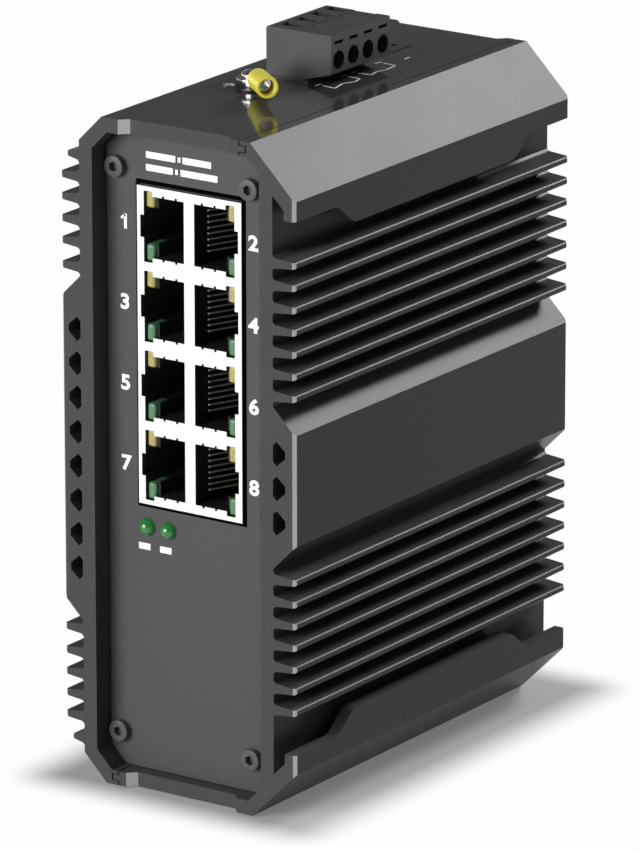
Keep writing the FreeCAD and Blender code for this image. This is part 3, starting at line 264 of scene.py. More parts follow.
def give(piece, name, material, body="case", replaces=()):
    """Names a finished piece, gives it a material and ties it to its body."""
    piece.name = name
    piece.data.name = name
    piece.data.materials.clear()
    piece.data.materials.append(material)
    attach(piece, body)
    if replaces:
        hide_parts(*replaces)
    return piece


def join(pieces):
    """Joins several objects into the first one."""
    deselect()
    for piece in pieces:
        piece.select_set(True)
    bpy.context.view_layer.objects.active = pieces[0]
    bpy.ops.object.join()
    return pieces[0]


def cylinder(centre, radius, depth, vertices=48):
    """A cylinder primitive along Y."""
    deselect()
    bpy.ops.mesh.primitive_cylinder_add(vertices=vertices, radius=radius, depth=depth,
                                        location=centre, rotation=(math.pi / 2, 0, 0))
    piece = bpy.context.object
    settle(piece)
    return piece


def block(low, high):
    """A cube primitive between two corners."""
    low, high = Vector(low), Vector(high)
    deselect()
    bpy.ops.mesh.primitive_cube_add(size=1.0, location=(low + high) / 2, scale=high - low)
    piece = bpy.context.object
    settle(piece)
    return piece


def carve(piece, cutter):
    """Cuts one closed mesh out of another."""
    add_modifier(piece, "BOOLEAN", operation="DIFFERENCE", object=cutter, solver="EXACT")
    bpy.data.objects.remove(cutter)


def eased_copy(node, name, width, material, body="case", segments=2):
    """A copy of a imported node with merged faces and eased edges, shown in its place."""
    source = NODES[node]
    piece = bpy.data.objects.new(name, source.data.copy())
    bpy.context.scene.collection.objects.link(piece)
    edit(piece)
    bpy.ops.object.mode_set(mode="EDIT")
    bpy.ops.mesh.select_all(action="SELECT")
    bpy.ops.mesh.remove_doubles(threshold=2e-6)
    bpy.ops.mesh.dissolve_limited(angle_limit=math.radians(1.0))
    bpy.ops.object.mode_set(mode="OBJECT")
    add_modifier(piece, "BEVEL", width=width, segments=segments, limit_method="ANGLE",
                 angle_limit=math.radians(28), use_clamp_overlap=True,
                 miter_outer="MITER_ARC")
    smooth(piece)
    add_modifier(piece, "WEIGHTED_NORMAL", keep_sharp=True, weight=90)
    return give(piece, name, material, body=body, replaces=(node,))


def dress(material, *nodes):
    """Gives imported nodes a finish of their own."""
    for node in nodes:
        NODES[node].data.materials.clear()
        NODES[node].data.materials.append(material)


def paint_faces(piece, material, test):
    """Gives the faces that pass the test a material of their own."""
    piece.data.materials.append(material)
    for face in piece.data.polygons:
        if test(face):
            face.material_index = len(piece.data.materials) - 1


# ---------------------------------------------------------------- shared shader groups

def new_group(name, inputs, outputs):
    """An empty shader group with its named sockets."""
    group = bpy.data.node_groups.new(name, "ShaderNodeTree")
    for title, kind, default in inputs:
        socket = group.interface.new_socket(title, in_out="INPUT", socket_type="NodeSocket" + kind)
        socket.default_value = default
    for title, kind in outputs:
        group.interface.new_socket(title, in_out="OUTPUT", socket_type="NodeSocket" + kind)
    return group, group.nodes.new("NodeGroupInput"), group.nodes.new("NodeGroupOutput")


def math_node(tree, operation, first, second=None, clamp=False):
    """A Math node fed by sockets or plain numbers."""
    node = tree.nodes.new("ShaderNodeMath")
    node.operation = operation
    node.use_clamp = clamp
    for socket, value in zip(node.inputs, (first, second)):
        if value is None:
            continue
        if isinstance(value, (int, float)):
            socket.default_value = value
        else:
            tree.links.new(value, socket)
    return node.outputs[0]


def noise(tree, vector, scale, detail=2.0, roughness=0.5):
    """A Noise Texture on given coordinates."""
    node = tree.nodes.new("ShaderNodeTexNoise")
    node.inputs["Detail"].default_value = detail
    node.inputs["Roughness"].default_value = roughness
    tree.links.new(vector, node.inputs["Vector"])
    if isinstance(scale, (int, float)):
        node.inputs["Scale"].default_value = scale
    else:
        tree.links.new(scale, node.inputs["Scale"])
    return node.outputs["Fac"]


def swing(tree, value, amount):
    """A value from 0 to 1, centred on zero and scaled."""
    return math_node(tree, "MULTIPLY", math_node(tree, "SUBTRACT", value, 0.5), amount)


def tinted(tree, base, factor):
    """A colour multiplied by a value."""
    node = tree.nodes.new("ShaderNodeVectorMath")
    node.operation = "SCALE"
    tree.links.new(base, node.inputs[0])
    tree.links.new(factor, node.inputs["Scale"])
    return node.outputs[0]


def build_grain_group():
    """Speckled, slightly cloudy finish for blasted metal and moulded plastic."""
    group, source, result = new_group(
        "Speckled finish",
        [("Color", "Color", (0.5, 0.5, 0.5, 1.0)), ("Roughness", "Float", 0.5),
         ("Speckle Size", "Float", 4000.0), ("Speckle", "Float", 0.3),
         ("Cloud Size", "Float", 60.0), ("Cloud", "Float", 0.1),
         ("Roughness Change", "Float", 0.1)],
        [("Color", "Color"), ("Roughness", "Float"), ("Height", "Float")])
    place = group.nodes.new("ShaderNodeTexCoord").outputs["Object"]
    pins = source.outputs
    fine = noise(group, place, pins["Speckle Size"], detail=2.0)
    wide = noise(group, place, pins["Cloud Size"], detail=3.0, roughness=0.6)
    both = math_node(group, "ADD", swing(group, fine, pins["Speckle"]),
                     swing(group, wide, pins["Cloud"]))
    shade = math_node(group, "ADD", both, 1.0)
    link = group.links.new
    link(tinted(group, pins["Color"], shade), result.inputs["Color"])
    change = swing(group, wide, pins["Roughness Change"])
    link(math_node(group, "ADD", pins["Roughness"], change, clamp=True), result.inputs["Roughness"])
    link(fine, result.inputs["Height"])
    return group


def build_streak_group():
    """Fine lines along Y, as drawing through a die leaves them."""
    group, source, result = new_group(
        "Drawn streaks",
        [("Color", "Color", (0.5, 0.5, 0.5, 1.0)), ("Roughness", "Float", 0.5),
         ("Line Size", "Float", 900.0), ("Tone", "Float", 0.1), ("Roughness Change", "Float", 0.1)],
        [("Color", "Color"), ("Roughness", "Float"), ("Height", "Float")])
    place = group.nodes.new("ShaderNodeTexCoord").outputs["Object"]
    stretch = group.nodes.new("ShaderNodeMapping")
    stretch.inputs["Scale"].default_value = (1.0, 0.012, 1.0)
    group.links.new(place, stretch.inputs["Vector"])
    pins = source.outputs
    lines = noise(group, stretch.outputs[0], pins["Line Size"], detail=3.0, roughness=0.65)
    shade = math_node(group, "ADD", swing(group, lines, pins["Tone"]), 1.0)
    link = group.links.new
    link(tinted(group, pins["Color"], shade), result.inputs["Color"])
    change = swing(group, lines, pins["Roughness Change"])
    link(math_node(group, "ADD", pins["Roughness"], change, clamp=True), result.inputs["Roughness"])
    link(lines, result.inputs["Height"])
    return group


GROUPS = {}


def group_named(name):
    """The shared group of that name, built on first use."""
    builders = {"Speckled finish": build_grain_group, "Drawn streaks": build_streak_group}
    if name not in GROUPS:
        GROUPS[name] = builders[name]()
    return GROUPS[name]


# ---------------------------------------------------------------- materials

def blank_material(name):
    """A material with a Principled shader and its output."""
    material = bpy.data.materials.new(name)
    material.use_nodes = True
    tree = material.node_tree
    return material, tree, tree.nodes["Principled BSDF"]


def place_group(tree, name, values, base):
    """A shared group with its own values."""
    node = tree.nodes.new("ShaderNodeGroup")
    node.node_tree = group_named(name)
    for title, value in values.items():
        node.inputs[title].default_value = value
    node.inputs["Color"].default_value = (*base, 1.0)
    return node


def bump(tree, shader, height, strength, distance):
    """Feeds a height to the shader's normal through a Bump node."""
    node = tree.nodes.new("ShaderNodeBump")
    node.inputs["Strength"].default_value = strength
    node.inputs["Distance"].default_value = distance
    tree.links.new(height, node.inputs["Height"])
    tree.links.new(node.outputs[0], shader.inputs["Normal"])


def finish(name, base, roughness, metallic=0.0, speckle=0.25, size=3500.0, cloud=0.15,
           cloud_size=55.0, change=0.08, relief=0.15, specular=0.5, coat=0.0,
           group="Speckled finish", lines=900.0):
    """A procedural opaque finish with grain in colour, roughness and relief."""
    material, tree, shader = blank_material(name)
    if group == "Speckled finish":
        values = {"Roughness": roughness, "Speckle Size": size, "Speckle": speckle,
                  "Cloud Size": cloud_size, "Cloud": cloud, "Roughness Change": change}
    else:
        values = {"Roughness": roughness, "Line Size": lines, "Tone": speckle,
                  "Roughness Change": change}
    node = place_group(tree, group, values, base)
    tree.links.new(node.outputs["Color"], shader.inputs["Base Color"])
    tree.links.new(node.outputs["Roughness"], shader.inputs["Roughness"])
    shader.inputs["Metallic"].default_value = metallic
    shader.inputs["Specular IOR Level"].default_value = specular
    shader.inputs["Coat Weight"].default_value = coat
    shader.inputs["Coat Roughness"].default_value = 0.15
    bump(tree, shader, node.outputs["Height"], relief, 0.03 * MM)
    return material


def lens_finish(name, base, glow, roughness=0.18):
    """A tinted moulded lens with light that its clouds scatter."""
    material, tree, shader = blank_material(name)
    node = place_group(tree, "Speckled finish",
                       {"Roughness": roughness, "Speckle Size": 1800.0, "Speckle": 0.35,
                        "Cloud Size": 420.0, "Cloud": 0.5, "Roughness Change": 0.1}, base)
    tree.links.new(node.outputs["Color"], shader.inputs["Base Color"])
    tree.links.new(node.outputs["Roughness"], shader.inputs["Roughness"])
    tree.links.new(node.outputs["Color"], shader.inputs["Emission Color"])
    shader.inputs["Emission Strength"].default_value = glow
    shader.inputs["Coat Weight"].default_value = 0.6
    shader.inputs["Coat Roughness"].default_value = 0.08
    bump(tree, shader, node.outputs["Height"], 0.1, 0.02 * MM)
    return material


def frame_finish(front, behind, edge):
    """White on the frame's front face, and the dark body colour on the shell behind that place along
    Y as painted shade for the gap round the frame.
    """
    material, tree, shader = blank_material("Jack frame with painted gap shade")
    node = place_group(tree, "Speckled finish",
                       {"Roughness": 0.35, "Speckle Size": 3000.0, "Speckle": 0.04,
                        "Cloud Size": 60.0, "Cloud": 0.03, "Roughness Change": 0.05}, front)
    place = tree.nodes.new("ShaderNodeTexCoord").outputs["Object"]
    split = tree.nodes.new("ShaderNodeSeparateXYZ")
    tree.links.new(place, split.inputs[0])
    mix = tree.nodes.new("ShaderNodeMix")
    mix.data_type = "RGBA"
    tree.links.new(math_node(tree, "LESS_THAN", split.outputs["Y"], edge), mix.inputs["Factor"])
    mix.inputs["A"].default_value = (*behind, 1.0)
    tree.links.new(node.outputs["Color"], mix.inputs["B"])
    tree.links.new(mix.outputs["Result"], shader.inputs["Base Color"])
    tree.links.new(node.outputs["Roughness"], shader.inputs["Roughness"])
    bump(tree, shader, node.outputs["Height"], 0.05, 0.02 * MM)
    return material


# ---------------------------------------------------------------- operators

class SWITCH_OT_case(bpy.types.Operator):
    """Finish the two finned extrusions and the end plates."""

    bl_idname = "switch.case"
    bl_label = "Case"

    def execute(self, context):
        look = context.scene.switch_case
        metal = finish("Dark anodised aluminium", look.metal, look.roughness, speckle=0.4,
                       size=2600.0, cloud=0.12, change=0.06, relief=0.2, specular=0.05)
        plate = finish("Black powder coat", look.plate, 0.5, speckle=0.25, size=3000.0,
                       cloud=0.06, relief=0.2, specular=0.3)
        # bare metal on the milled ends and tip bevels, its light colour partly a painted highlight
        bare = finish("Bare edge with painted highlight", look.cut, 0.35, metallic=0.2, speckle=0.1, relief=0.05,
                      group="Drawn streaks", lines=2500.0)
        left = eased_copy("left_housing", "left_extrusion", look.edge, metal)
        right = eased_copy("right_housing", "right_extrusion", look.edge, metal)
        low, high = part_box("left_housing")

        def top_face(face):
            """The level face on top."""
            return face.normal.z > 0.999 and face.center.z > high.z - 0.1 * MM

        def recess_end(face):
            """The slanted end of a milled recess in the top or bottom wall."""
            near_wall = face.center.z < low.z + 3 * MM or face.center.z > high.z - 3 * MM
            return (near_wall and face.center.y < low.y + 2 * MM
                    and abs(face.center.x) < 12.4 * MM and face.normal.x > 0.5
                    and face.normal.y < -0.2 and face.area > 0.5 * MM * MM)

        def bevelled_tip(face):
            """The bevel at the end of a fin, a lip or the band."""
            return face.normal.x > 0.5 and face.normal.y < -0.5 and face.area > 0.1 * MM * MM

        smooth_top = finish("Smooth anodised top", look.top, 0.1, speckle=0.25, size=2600.0,
                            cloud=0.08, change=0.03, relief=0.06)
        for piece in (left, right):
            paint_faces(piece, smooth_top, top_face)
        paint_faces(left, bare, recess_end)
        # the tip bevels are painted light on the right extrusion only, the side that catches the
        # light: painted highlight
        paint_faces(right, bare, lambda face: recess_end(face) or bevelled_tip(face))
        dress(plate, "front_panel", "rear_panel")
        return {"FINISHED"}


def screw_head(centre, radius, height, forward):
    """A round head with an eased rim and a hexagon socket; forward is -1 or 1 along Y."""
    head = cylinder(centre, radius, height)
    front = centre[1] + forward * height / 2
    pick_faces(head, lambda c, n: n.y * forward > 0.9)
    bpy.ops.mesh.bevel(offset=radius * 0.1, segments=3, affect="EDGES")
    bpy.ops.object.mode_set(mode="OBJECT")
    cutter = cylinder((centre[0], front, centre[2]), SOCKET_RADIUS, height * 1.9, vertices=6)
    carve(head, cutter)
    smooth(head, 30)
    return head


class SWITCH_OT_fasteners(bpy.types.Operator):
    """Make the cap screws of the end plates and of the rail clip."""

    bl_idname = "switch.fasteners"
    bl_label = "Fasteners"

    def execute(self, context):
        steel = finish("Black oxide steel", (0.085, 0.085, 0.087), 0.32, speckle=0.3,
                       size=4000.0, relief=0.1, specular=0.3)
        for node, name, forward, height, radius in CAP_SCREWS:
            low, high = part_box(node)
            face = low.y if forward < 0 else high.y
            middle = face - forward * height * MM / 2
            reach = radius * MM
            heads = [screw_head((x, middle, z), reach, height * MM, forward)
                     for x in (low.x + reach, high.x - reach)
                     for z in (low.z + reach, high.z - reach)]
            give(join(heads), name, steel, replaces=(node,))
        return {"FINISHED"}


def contact_row(number, metal, glint_paint):
    """The eight slim wires of one jack, and a white dot on each tip as a painted highlight."""
    node = f"port_contacts_{number}"
    wires = eased_copy(node, f"contact_wires_{number}", 0.04 * MM, metal)
    low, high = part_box(node)
    pitch = (high.z - low.z - BLADE_WIDTH) / 7
    first = low.z + BLADE_WIDTH / 2
    for vertex in wires.data.vertices:
        middle = first + round((vertex.co.z - first) / pitch) * pitch
        vertex.co.z = middle + (vertex.co.z - middle) * WIRE_SHARE
    places = [vertex.co.copy() for vertex in wires.data.vertices]
    front = min(co.y for co in places)
    tips = [co.x for co in places if co.y < front + 0.1 * MM]
    deselect()
    bpy.ops.mesh.primitive_uv_sphere_add(segments=12, ring_count=8, radius=GLINT_DOT_RADIUS,
                                         location=(sum(tips) / len(tips), front + 0.1 * MM,
                                                   first))
    dots = bpy.context.object
    settle(dots)
    add_modifier(dots, "ARRAY", count=8, use_relative_offset=False, use_constant_offset=True,
                 constant_offset_displace=(0, 0, pitch))
    smooth(dots, 60)
    give(dots, f"contact_glint_dots_{number}", glint_paint)


class SWITCH_OT_jacks(bpy.types.Operator):
    """Finish the jack block and its lamp lenses, and slim its contacts."""

    bl_idname = "switch.jacks"
    bl_label = "Jacks"

    def execute(self, context):
        look = context.scene.switch_jacks
        body = finish("Black jack moulding", look.body, 0.4, speckle=0.2, relief=0.08,
                      specular=0.2)
        # white dots on the contact tips: painted highlight
        glint_paint = finish("Painted contact glints", (0.9, 0.9, 0.88), 0.3, speckle=0.05, relief=0.03)
        metal = finish("Plated contacts", look.contact, 0.3, metallic=0.6, speckle=0.1,
                       relief=0.05, group="Drawn streaks", lines=4000.0)
        # the frame's sides behind its front face take the body colour: painted shade for the gap
        # round the frame
        white_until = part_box("jack_shell")[0].y + 0.05 * MM
        dress(frame_finish(look.shell, look.body, white_until), "jack_shell")
        dress(body, *(f"port_insert_{number}" for number in PORTS))
        for number in PORTS:
            contact_row(number, metal, glint_paint)
        amber = lens_finish("Amber lens", look.speed, 0.12)
        green = lens_finish("Green lens", look.link, 0.12)
        eased_copy("speed_led_lenses", "upper_lenses", 0.14 * MM, amber, segments=3)
        eased_copy("link_led_lenses", "lower_lenses", 0.14 * MM, green, segments=3)
        return {"FINISHED"}


class SWITCH_OT_power_lamps(bpy.types.Operator):
    """Make the two domed power lamps."""

    bl_idname = "switch.power_lamps"
    bl_label = "Power lamps"

    def execute(self, context):
        look = context.scene.switch_jacks
        green = lens_finish("Green lamp", look.power, 0.3, roughness=0.1)
        for number in (1, 2):
            low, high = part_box(f"power_led_{number}")
            radius = (high.x - low.x) / 2
            centre = Vector(((low.x + high.x) / 2, low.y + radius, (low.z + high.z) / 2))
            deselect()
            bpy.ops.mesh.primitive_uv_sphere_add(segments=40, ring_count=20, radius=radius,
                                                 location=centre, rotation=(math.pi / 2, 0, 0))
            dome = bpy.context.object
            settle(dome)
            tail = high.y - centre.y - radius
            pick_vertices(dome, lambda co: co.y > centre.y + radius * 0.1)
            bpy.ops.transform.translate(value=(0, tail, 0))
            bpy.ops.object.mode_set(mode="OBJECT")
            smooth(dome, 60)
            give(dome, f"power_lamp_{number}", green,
                 replaces=(f"power_led_{number}",))
        return {"FINISHED"}


class SWITCH_OT_earth_terminal(bpy.types.Operator):
    """Make the earth screw, washer, nut, ring terminal and its sleeve."""

    bl_idname = "switch.earth_terminal"
    bl_label = "Earth terminal"

    def execute(self, context):
        look = context.scene.switch_connectors
        nickel = finish("Nickel plate", look.plating, 0.2, metallic=1.0, speckle=0.08,
                        cloud=0.12, relief=0.04)
        # the washer is near black to stand in for the contact shadow under the terminal: painted
        # shadow
        dark = finish("Washer in painted shadow", (0.03, 0.03, 0.03), 0.4, metallic=0.6)
        vinyl = finish("Yellow vinyl", look.sleeve, 0.35, speckle=0.08, cloud=0.1, relief=0.08,
                       coat=0.3)
        eased_copy("ground_washer", "earth_washer", 0.08 * MM, dark)
        eased_copy("ground_nut", "earth_spacer", 0.12 * MM, nickel)
        eased_copy("ground_screw", "earth_screw", 0.08 * MM, nickel)
        eased_copy("ring_terminal", "earth_ring", 0.05 * MM, nickel)
        eased_copy("terminal_sleeve", "earth_sleeve", 0.12 * MM, vinyl, segments=3)
        return {"FINISHED"}


class SWITCH_OT_power_connector(bpy.types.Operator):
    """Finish the power header, its pins, and the plug with its clamps."""

    bl_idname = "switch.power_connector"
    bl_label = "Power connector"

    def execute(self, context):
        look = context.scene.switch_connectors
        plastic = finish("Black connector moulding", look.plastic, 0.4, speckle=0.15,
                         size=2500.0, cloud=0.1, relief=0.1, specular=0.35)
        tin = finish("Tin plate", (0.7, 0.69, 0.66), 0.3, metallic=1.0, speckle=0.1, relief=0.05)
        eased_copy("power_header", "connector_header", 0.1 * MM, plastic)
        dress(plastic, "power_plug")
        eased_copy("plug_screws", "clamp_screws", 0.06 * MM, tin, body="plug")
        dress(tin, "header_pins", "plug_clamps")
        return {"FINISHED"}


class SWITCH_OT_board(bpy.types.Operator):
    """Finish the circuit board and what it carries."""

    bl_idname = "switch.board"
    bl_label = "Board"

    def execute(self, context):
        finishes = {
            "main_board": finish("Green solder mask", (0.012, 0.11, 0.045), 0.35, speckle=0.2,
                                 size=900.0, coat=0.4),
            "switch_chip": finish("Chip epoxy", (0.02, 0.02, 0.021), 0.5, speckle=0.4),
            "thermal_pad": finish("Grey silicone", (0.3, 0.31, 0.33), 0.7, speckle=0.2),
            "transformer_modules": finish("Module epoxy", (0.018, 0.018, 0.02), 0.45, speckle=0.3),
            "board_capacitors": finish("Capacitor sleeve", (0.03, 0.035, 0.05), 0.3, speckle=0.1),
        }
        for node, material in finishes.items():
            dress(material, node)
        return {"FINISHED"}


class SWITCH_OT_rail_clip(bpy.types.Operator):
    """Finish the rail clip and its latch, and wind the latch's spring."""

    bl_idname = "switch.rail_clip"
    bl_label = "Rail clip"

    def execute(self, context):
        zinc = finish("Zinc plated steel", (0.42, 0.43, 0.44), 0.34, metallic=0.9, speckle=0.12,
                      size=1500.0, cloud=0.35, cloud_size=180.0, relief=0.08)
        steel = finish("Spring steel", (0.5, 0.5, 0.5), 0.25, metallic=1.0, speckle=0.1)
        eased_copy("din_clip", "rail_clip_plate", 0.15 * MM, zinc)
        eased_copy("din_latch", "rail_latch", 0.15 * MM, zinc, body="latch")
        low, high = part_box("latch_spring")
        centre = (low + high) / 2
        wire = 0.2 * MM
        turns = 5
        deselect()
        bpy.ops.mesh.primitive_circle_add(vertices=10, radius=wire,
                                          location=(high.x - wire, centre.y, low.z + wire),
                                          rotation=(math.pi / 2, 0, 0))
        coil = bpy.context.object
        settle(coil)
        coil.data.transform(Matrix.Translation((-centre.x, -centre.y, 0)))
        rise = (high.z - low.z - wire * 2) / turns
        add_modifier(coil, "SCREW", axis="Z", screw_offset=rise, iterations=turns, steps=24,
                     render_steps=24, use_normal_calculate=True)
        coil.data.transform(Matrix.Translation((centre.x, centre.y, 0)))
        edit(coil, "EDGE")
        bpy.ops.object.mode_set(mode="EDIT")
        bpy.ops.mesh.select_non_manifold()
        bpy.ops.mesh.edge_face_add()
        bpy.ops.object.mode_set(mode="OBJECT")
        outward(coil)
        smooth(coil, 60)
        give(coil, "latch_coil", steel, replaces=("latch_spring",))
        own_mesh(coil)
        return {"FINISHED"}


def front_bar(x, z, width, height, y):
    """A flat printed bar on the front plate."""
    return block((x - width / 2, y - INK_HALF, z - height / 2),
                 (x + width / 2, y + INK_HALF, z + height / 2))


def top_bar(start, end, width, z):
    """A flat printed line on the top face."""
    start, end = Vector((*start, z)), Vector((*end, z))
    run = end - start
    bar = block((-width / 2, -width / 2, -INK_HALF),
                (run.length + width / 2, width / 2, INK_HALF))
    turn = math.atan2(run.y, run.x)
    bar.data.transform(Matrix.Translation(start) @ Matrix.Rotation(turn, 4, "Z"))
    return bar


def one_mark(size, x, y, z):
    """A printed 1 with a stem and a flag."""
    stem = front_bar(x + size * 0.08, z, size * 0.22, size, y)
    flag = front_bar(0, 0, size * 0.42, size * 0.17, 0)
    flag.data.transform(Matrix.Translation((x - size * 0.09, y, z + size * 0.3))
                        @ Matrix.Rotation(math.radians(-38), 4, "Y"))
    return join([stem, flag])


def digit_mark(text, size, x, y, z):
    """A printed digit that faces the front, with its middle at x and z."""
    deselect()
    bpy.ops.object.text_add(location=(x, y, z), rotation=(math.pi / 2, 0, 0))
    label = bpy.context.object
    label.scale = (1.12, 1.0, 1.0)
    label.data.body = text
    label.data.size = size * 1.36
    label.data.offset = size * 0.05
    label.data.extrude = INK_HALF
    label.data.align_x = "CENTER"
    label.data.align_y = "CENTER"
    bpy.ops.object.convert(target="MESH")
    label = bpy.context.object
    settle(label)
    return label


def jack_numbers(look, face, low, high):
    """The numbers of the jacks, odd ones on the left and even ones on the right."""
    middle = (low.z + high.z) / 2 - 0.2 * MM
    digits = []
    for number in PORTS:
        x = ODD_COLUMN if number % 2 else EVEN_COLUMN
        z = middle + (1.5 - (number - 1) // 2) * look.row
        if number == 1:
            digits.append(one_mark(look.digit, x, face, z))
        else:
            digits.append(digit_mark(str(number), look.digit, x, face, z))
    return digits


def legend_bars(face, high):
    """Plain bars in place of words over the jacks and under the power lamps."""
    bars = [front_bar((a + b) / 2 * MM, high.z + rise, (b - a) * MM, tall * MM, face)
            for rise, words in ((UPPER_LEGEND, UPPER_BARS), (LOWER_LEGEND, LOWER_BARS))
            for a, b, tall in words]
    for number in (1, 2):
        a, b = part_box(f"power_led_{number}")
        bars.append(front_bar((a.x + b.x) / 2 - 0.65 * MM, a.z - 2.1 * MM, 2.4 * MM, 1.15 * MM,
                              face))
    return bars


def jack_lining(face, low, high):
    """Four thin black strips round the jack frame: painted shadow where its gap lies in shade."""
    left, right = low.x - GAP_SHADOW_LEFT * MM, high.x + GAP_SHADOW_RIGHT * MM
    base, rise = low.z - GAP_SHADOW_BELOW * MM, high.z + GAP_SHADOW_ABOVE * MM
    return [block((a, face - 0.005 * MM, b), (c, face + 0.005 * MM, d))
            for a, b, c, d in ((left, base, right, low.z), (left, high.z, right, rise),
                               (left, low.z, low.x, high.z), (high.x, low.z, right, high.z))]


def top_marks(front, top):
    """The terminal marks and the earth sign on the top face."""

    def point(x, y):
        """A place on the top face, in millimetres from the front edge."""
        return (x * MM, front + y * MM)

    lines = [top_bar(point(*a), point(*b), 0.3 * MM, top)
             for run in TOP_LINES for a, b in zip(run, run[1:])]
    x, y = EARTH_SIGN
    lines.append(top_bar(point(x, y - EARTH_STEM), point(x, y), 0.25 * MM, top))
    for step, half in enumerate(EARTH_BARS):
        beyond = y + step * 0.5
        lines.append(top_bar(point(x - half, beyond), point(x + half, beyond), 0.22 * MM, top))
    return lines


class SWITCH_OT_markings(bpy.types.Operator):
    """Print the jack numbers, the plain legend bars and the marks on top."""

    bl_idname = "switch.markings"
    bl_label = "Markings"

    def execute(self, context):
        look = context.scene.switch_marks
        ink = finish("White screen ink", look.ink, 0.5, speckle=0.08, size=6000.0, relief=0.1)
        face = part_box("front_panel")[0].y - INK_HALF
        case_low, case_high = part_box("left_housing")
        low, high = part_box("jack_shell")
        give(join(jack_numbers(look, face, low, high)), "jack_numbers", ink)
        give(join(legend_bars(face, high)), "legend_bars", ink)
        # black strips of painted shadow round the jack frame, standing in for the shade in its gap
        gap_shadow = finish("Painted gap shadow", (0.002, 0.002, 0.002), 0.7, speckle=0.1, specular=0.0)
        give(join(jack_lining(face, low, high)), "jack_lining", gap_shadow)
        give(join(top_marks(case_low.y, case_high.z + INK_HALF)), "top_marks", ink)
        return {"FINISHED"}


def area_lamp(name, power, place, aim, size):
    """A square softbox that points at a place."""
    data = bpy.data.lights.new(name, "AREA")
    data.shape = "RECTANGLE"
    data.size, data.size_y = size
    data.energy = power
    lamp = bpy.data.objects.new(name, data)
    bpy.context.scene.collection.objects.link(lamp)
    lamp.location = place
    lamp.rotation_euler = (Vector(aim) - Vector(place)).to_track_quat("-Z", "Y").to_euler()
    return lamp


def floor_finish(colour_value):
    """A pale floor that turns plain white to the view outside the object's contact shadow."""
    material, tree, shader = blank_material("Pale floor")
    shader.inputs["Base Color"].default_value = (*colour_value, 1.0)
    shader.inputs["Roughness"].default_value = 0.6
    white = tree.nodes.new("ShaderNodeEmission")
    white.inputs["Strength"].default_value = 1.0
    path = tree.nodes.new("ShaderNodeLightPath")
    seen = math_node(tree, "MAXIMUM", path.outputs["Is Camera Ray"],
                     math_node(tree, "MAXIMUM", path.outputs["Is Glossy Ray"],
                               path.outputs["Is Transmission Ray"]))
    low, high = PACKED_BOX
    half = (high[0], high[1], 0.0)
    vector = tree.nodes.new("ShaderNodeTexCoord").outputs["Object"]
    for operation, value in (("ABSOLUTE", None), ("SUBTRACT", half), ("MAXIMUM", (0, 0, 0)),
                             ("LENGTH", None)):
        step = tree.nodes.new("ShaderNodeVectorMath")
        step.operation = operation
        tree.links.new(vector, step.inputs[0])
        if value is not None:
            step.inputs[1].default_value = value
        vector = step.outputs["Value" if operation == "LENGTH" else "Vector"]
    ramp = tree.nodes.new("ShaderNodeMapRange")
    ramp.interpolation_type = "SMOOTHSTEP"
    tree.links.new(vector, ramp.inputs["Value"])
    for title, value in (("From Min", SHADOW_START), ("From Max", SHADOW_END),
                         ("To Min", SHADOW_WHITE), ("To Max", OPEN_WHITE)):
        ramp.inputs[title].default_value = value
    mix = tree.nodes.new("ShaderNodeMixShader")
    tree.links.new(math_node(tree, "MULTIPLY", seen, ramp.outputs["Result"]), mix.inputs["Fac"])
    tree.links.new(shader.outputs[0], mix.inputs[1])
    tree.links.new(white.outputs[0], mix.inputs[2])
    tree.links.new(mix.outputs[0], tree.nodes["Material Output"].inputs["Surface"])
    return material


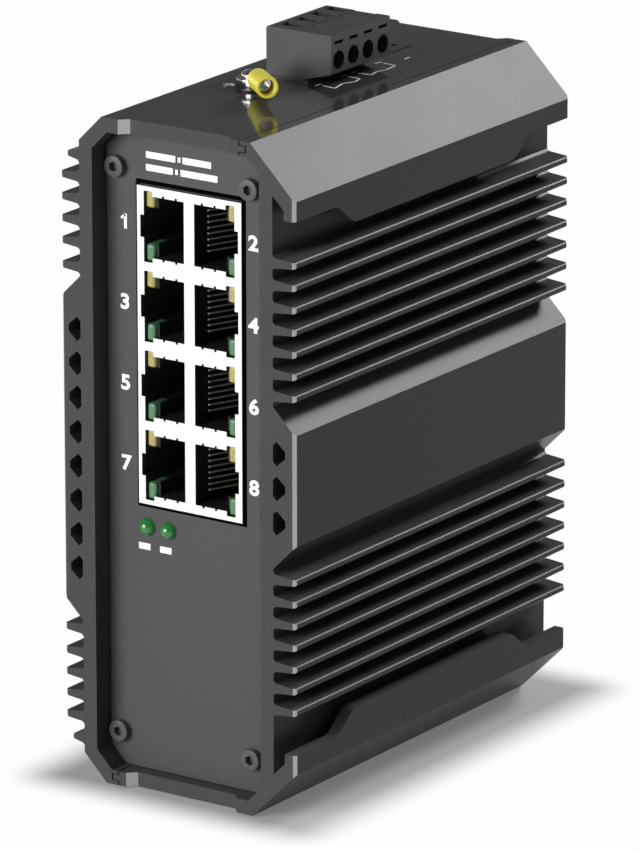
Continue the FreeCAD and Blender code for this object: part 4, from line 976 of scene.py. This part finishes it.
class SWITCH_OT_stage(bpy.types.Operator):
    """Set the floor, lamps, even light and camera."""

    bl_idname = "switch.stage"
    bl_label = "Stage"

    def execute(self, context):
        look = context.scene.switch_stage
        scene = context.scene
        deselect()
        bpy.ops.mesh.primitive_plane_add(size=FLOOR_SIZE, location=(0, 0, -FLOOR_DROP))
        floor = bpy.context.object
        floor.name = "floor"
        floor.data.materials.append(floor_finish(look.floor))
        world = bpy.data.worlds.new("Even light")
        scene.world = world
        world.use_nodes = True
        background = world.node_tree.nodes["Background"]
        background.inputs["Color"].default_value = (1, 1, 1, 1)
        background.inputs["Strength"].default_value = look.world
        area_lamp("broad_lamp", look.key, *BROAD_LAMP)
        area_lamp("rear_lamp", look.rear, *REAR_LAMP)
        camera_data = bpy.data.cameras.new("view")
        camera = bpy.data.objects.new("view", camera_data)
        scene.collection.objects.link(camera)
        camera_data.sensor_width = 36.0
        camera_data.lens = CAMERA_LENS
        camera_data.clip_end = 100.0
        camera.location = CAMERA_PLACE
        ahead = Vector(CAMERA_AIM) - Vector(CAMERA_PLACE)
        turn = ahead.to_track_quat("-Z", "Y").to_matrix().to_4x4()
        roll = Matrix.Rotation(math.radians(CAMERA_ROLL), 4, "Z")
        camera.rotation_euler = (turn @ roll).to_euler()
        scene.camera = camera
        scene.view_settings.view_transform = "Standard"
        return {"FINISHED"}


PIECES = (SWITCH_OT_case, SWITCH_OT_fasteners, SWITCH_OT_jacks, SWITCH_OT_power_lamps,
          SWITCH_OT_earth_terminal, SWITCH_OT_power_connector, SWITCH_OT_board, SWITCH_OT_rail_clip,
          SWITCH_OT_markings, SWITCH_OT_stage)
LOOKS = (("switch_case", SwitchCaseProperties), ("switch_jacks", SwitchJackProperties),
         ("switch_connectors", SwitchConnectorProperties), ("switch_marks", SwitchMarkProperties),
         ("switch_stage", SwitchStageProperties))


class SWITCH_PT_panel(bpy.types.Panel):
    """Lists the switch's pieces in the 3D view's sidebar."""

    bl_idname = "SWITCH_PT_panel"
    bl_label = "Network Switch"
    bl_space_type = "VIEW_3D"
    bl_region_type = "UI"
    bl_category = "Switch"

    def draw(self, context):
        column = self.layout.column(align=True)
        for piece in PIECES:
            column.operator(piece.bl_idname)


def register():
    """Registers the properties, operators and panel."""
    for name, group in LOOKS:
        bpy.utils.register_class(group)
        setattr(bpy.types.Scene, name, PointerProperty(type=group))
    for item in (*PIECES, SWITCH_PT_panel):
        bpy.utils.register_class(item)


def unregister():
    """Removes what register added."""
    for item in (SWITCH_PT_panel, *reversed(PIECES)):
        bpy.utils.unregister_class(item)
    for name, group in reversed(LOOKS):
        delattr(bpy.types.Scene, name)
        bpy.utils.unregister_class(group)


def main():
    """Builds everything in order."""
    register()
    for piece in PIECES:
        family, action = piece.bl_idname.split(".")
        getattr(getattr(bpy.ops, family), action)()


if __name__ == "__main__":
    main()
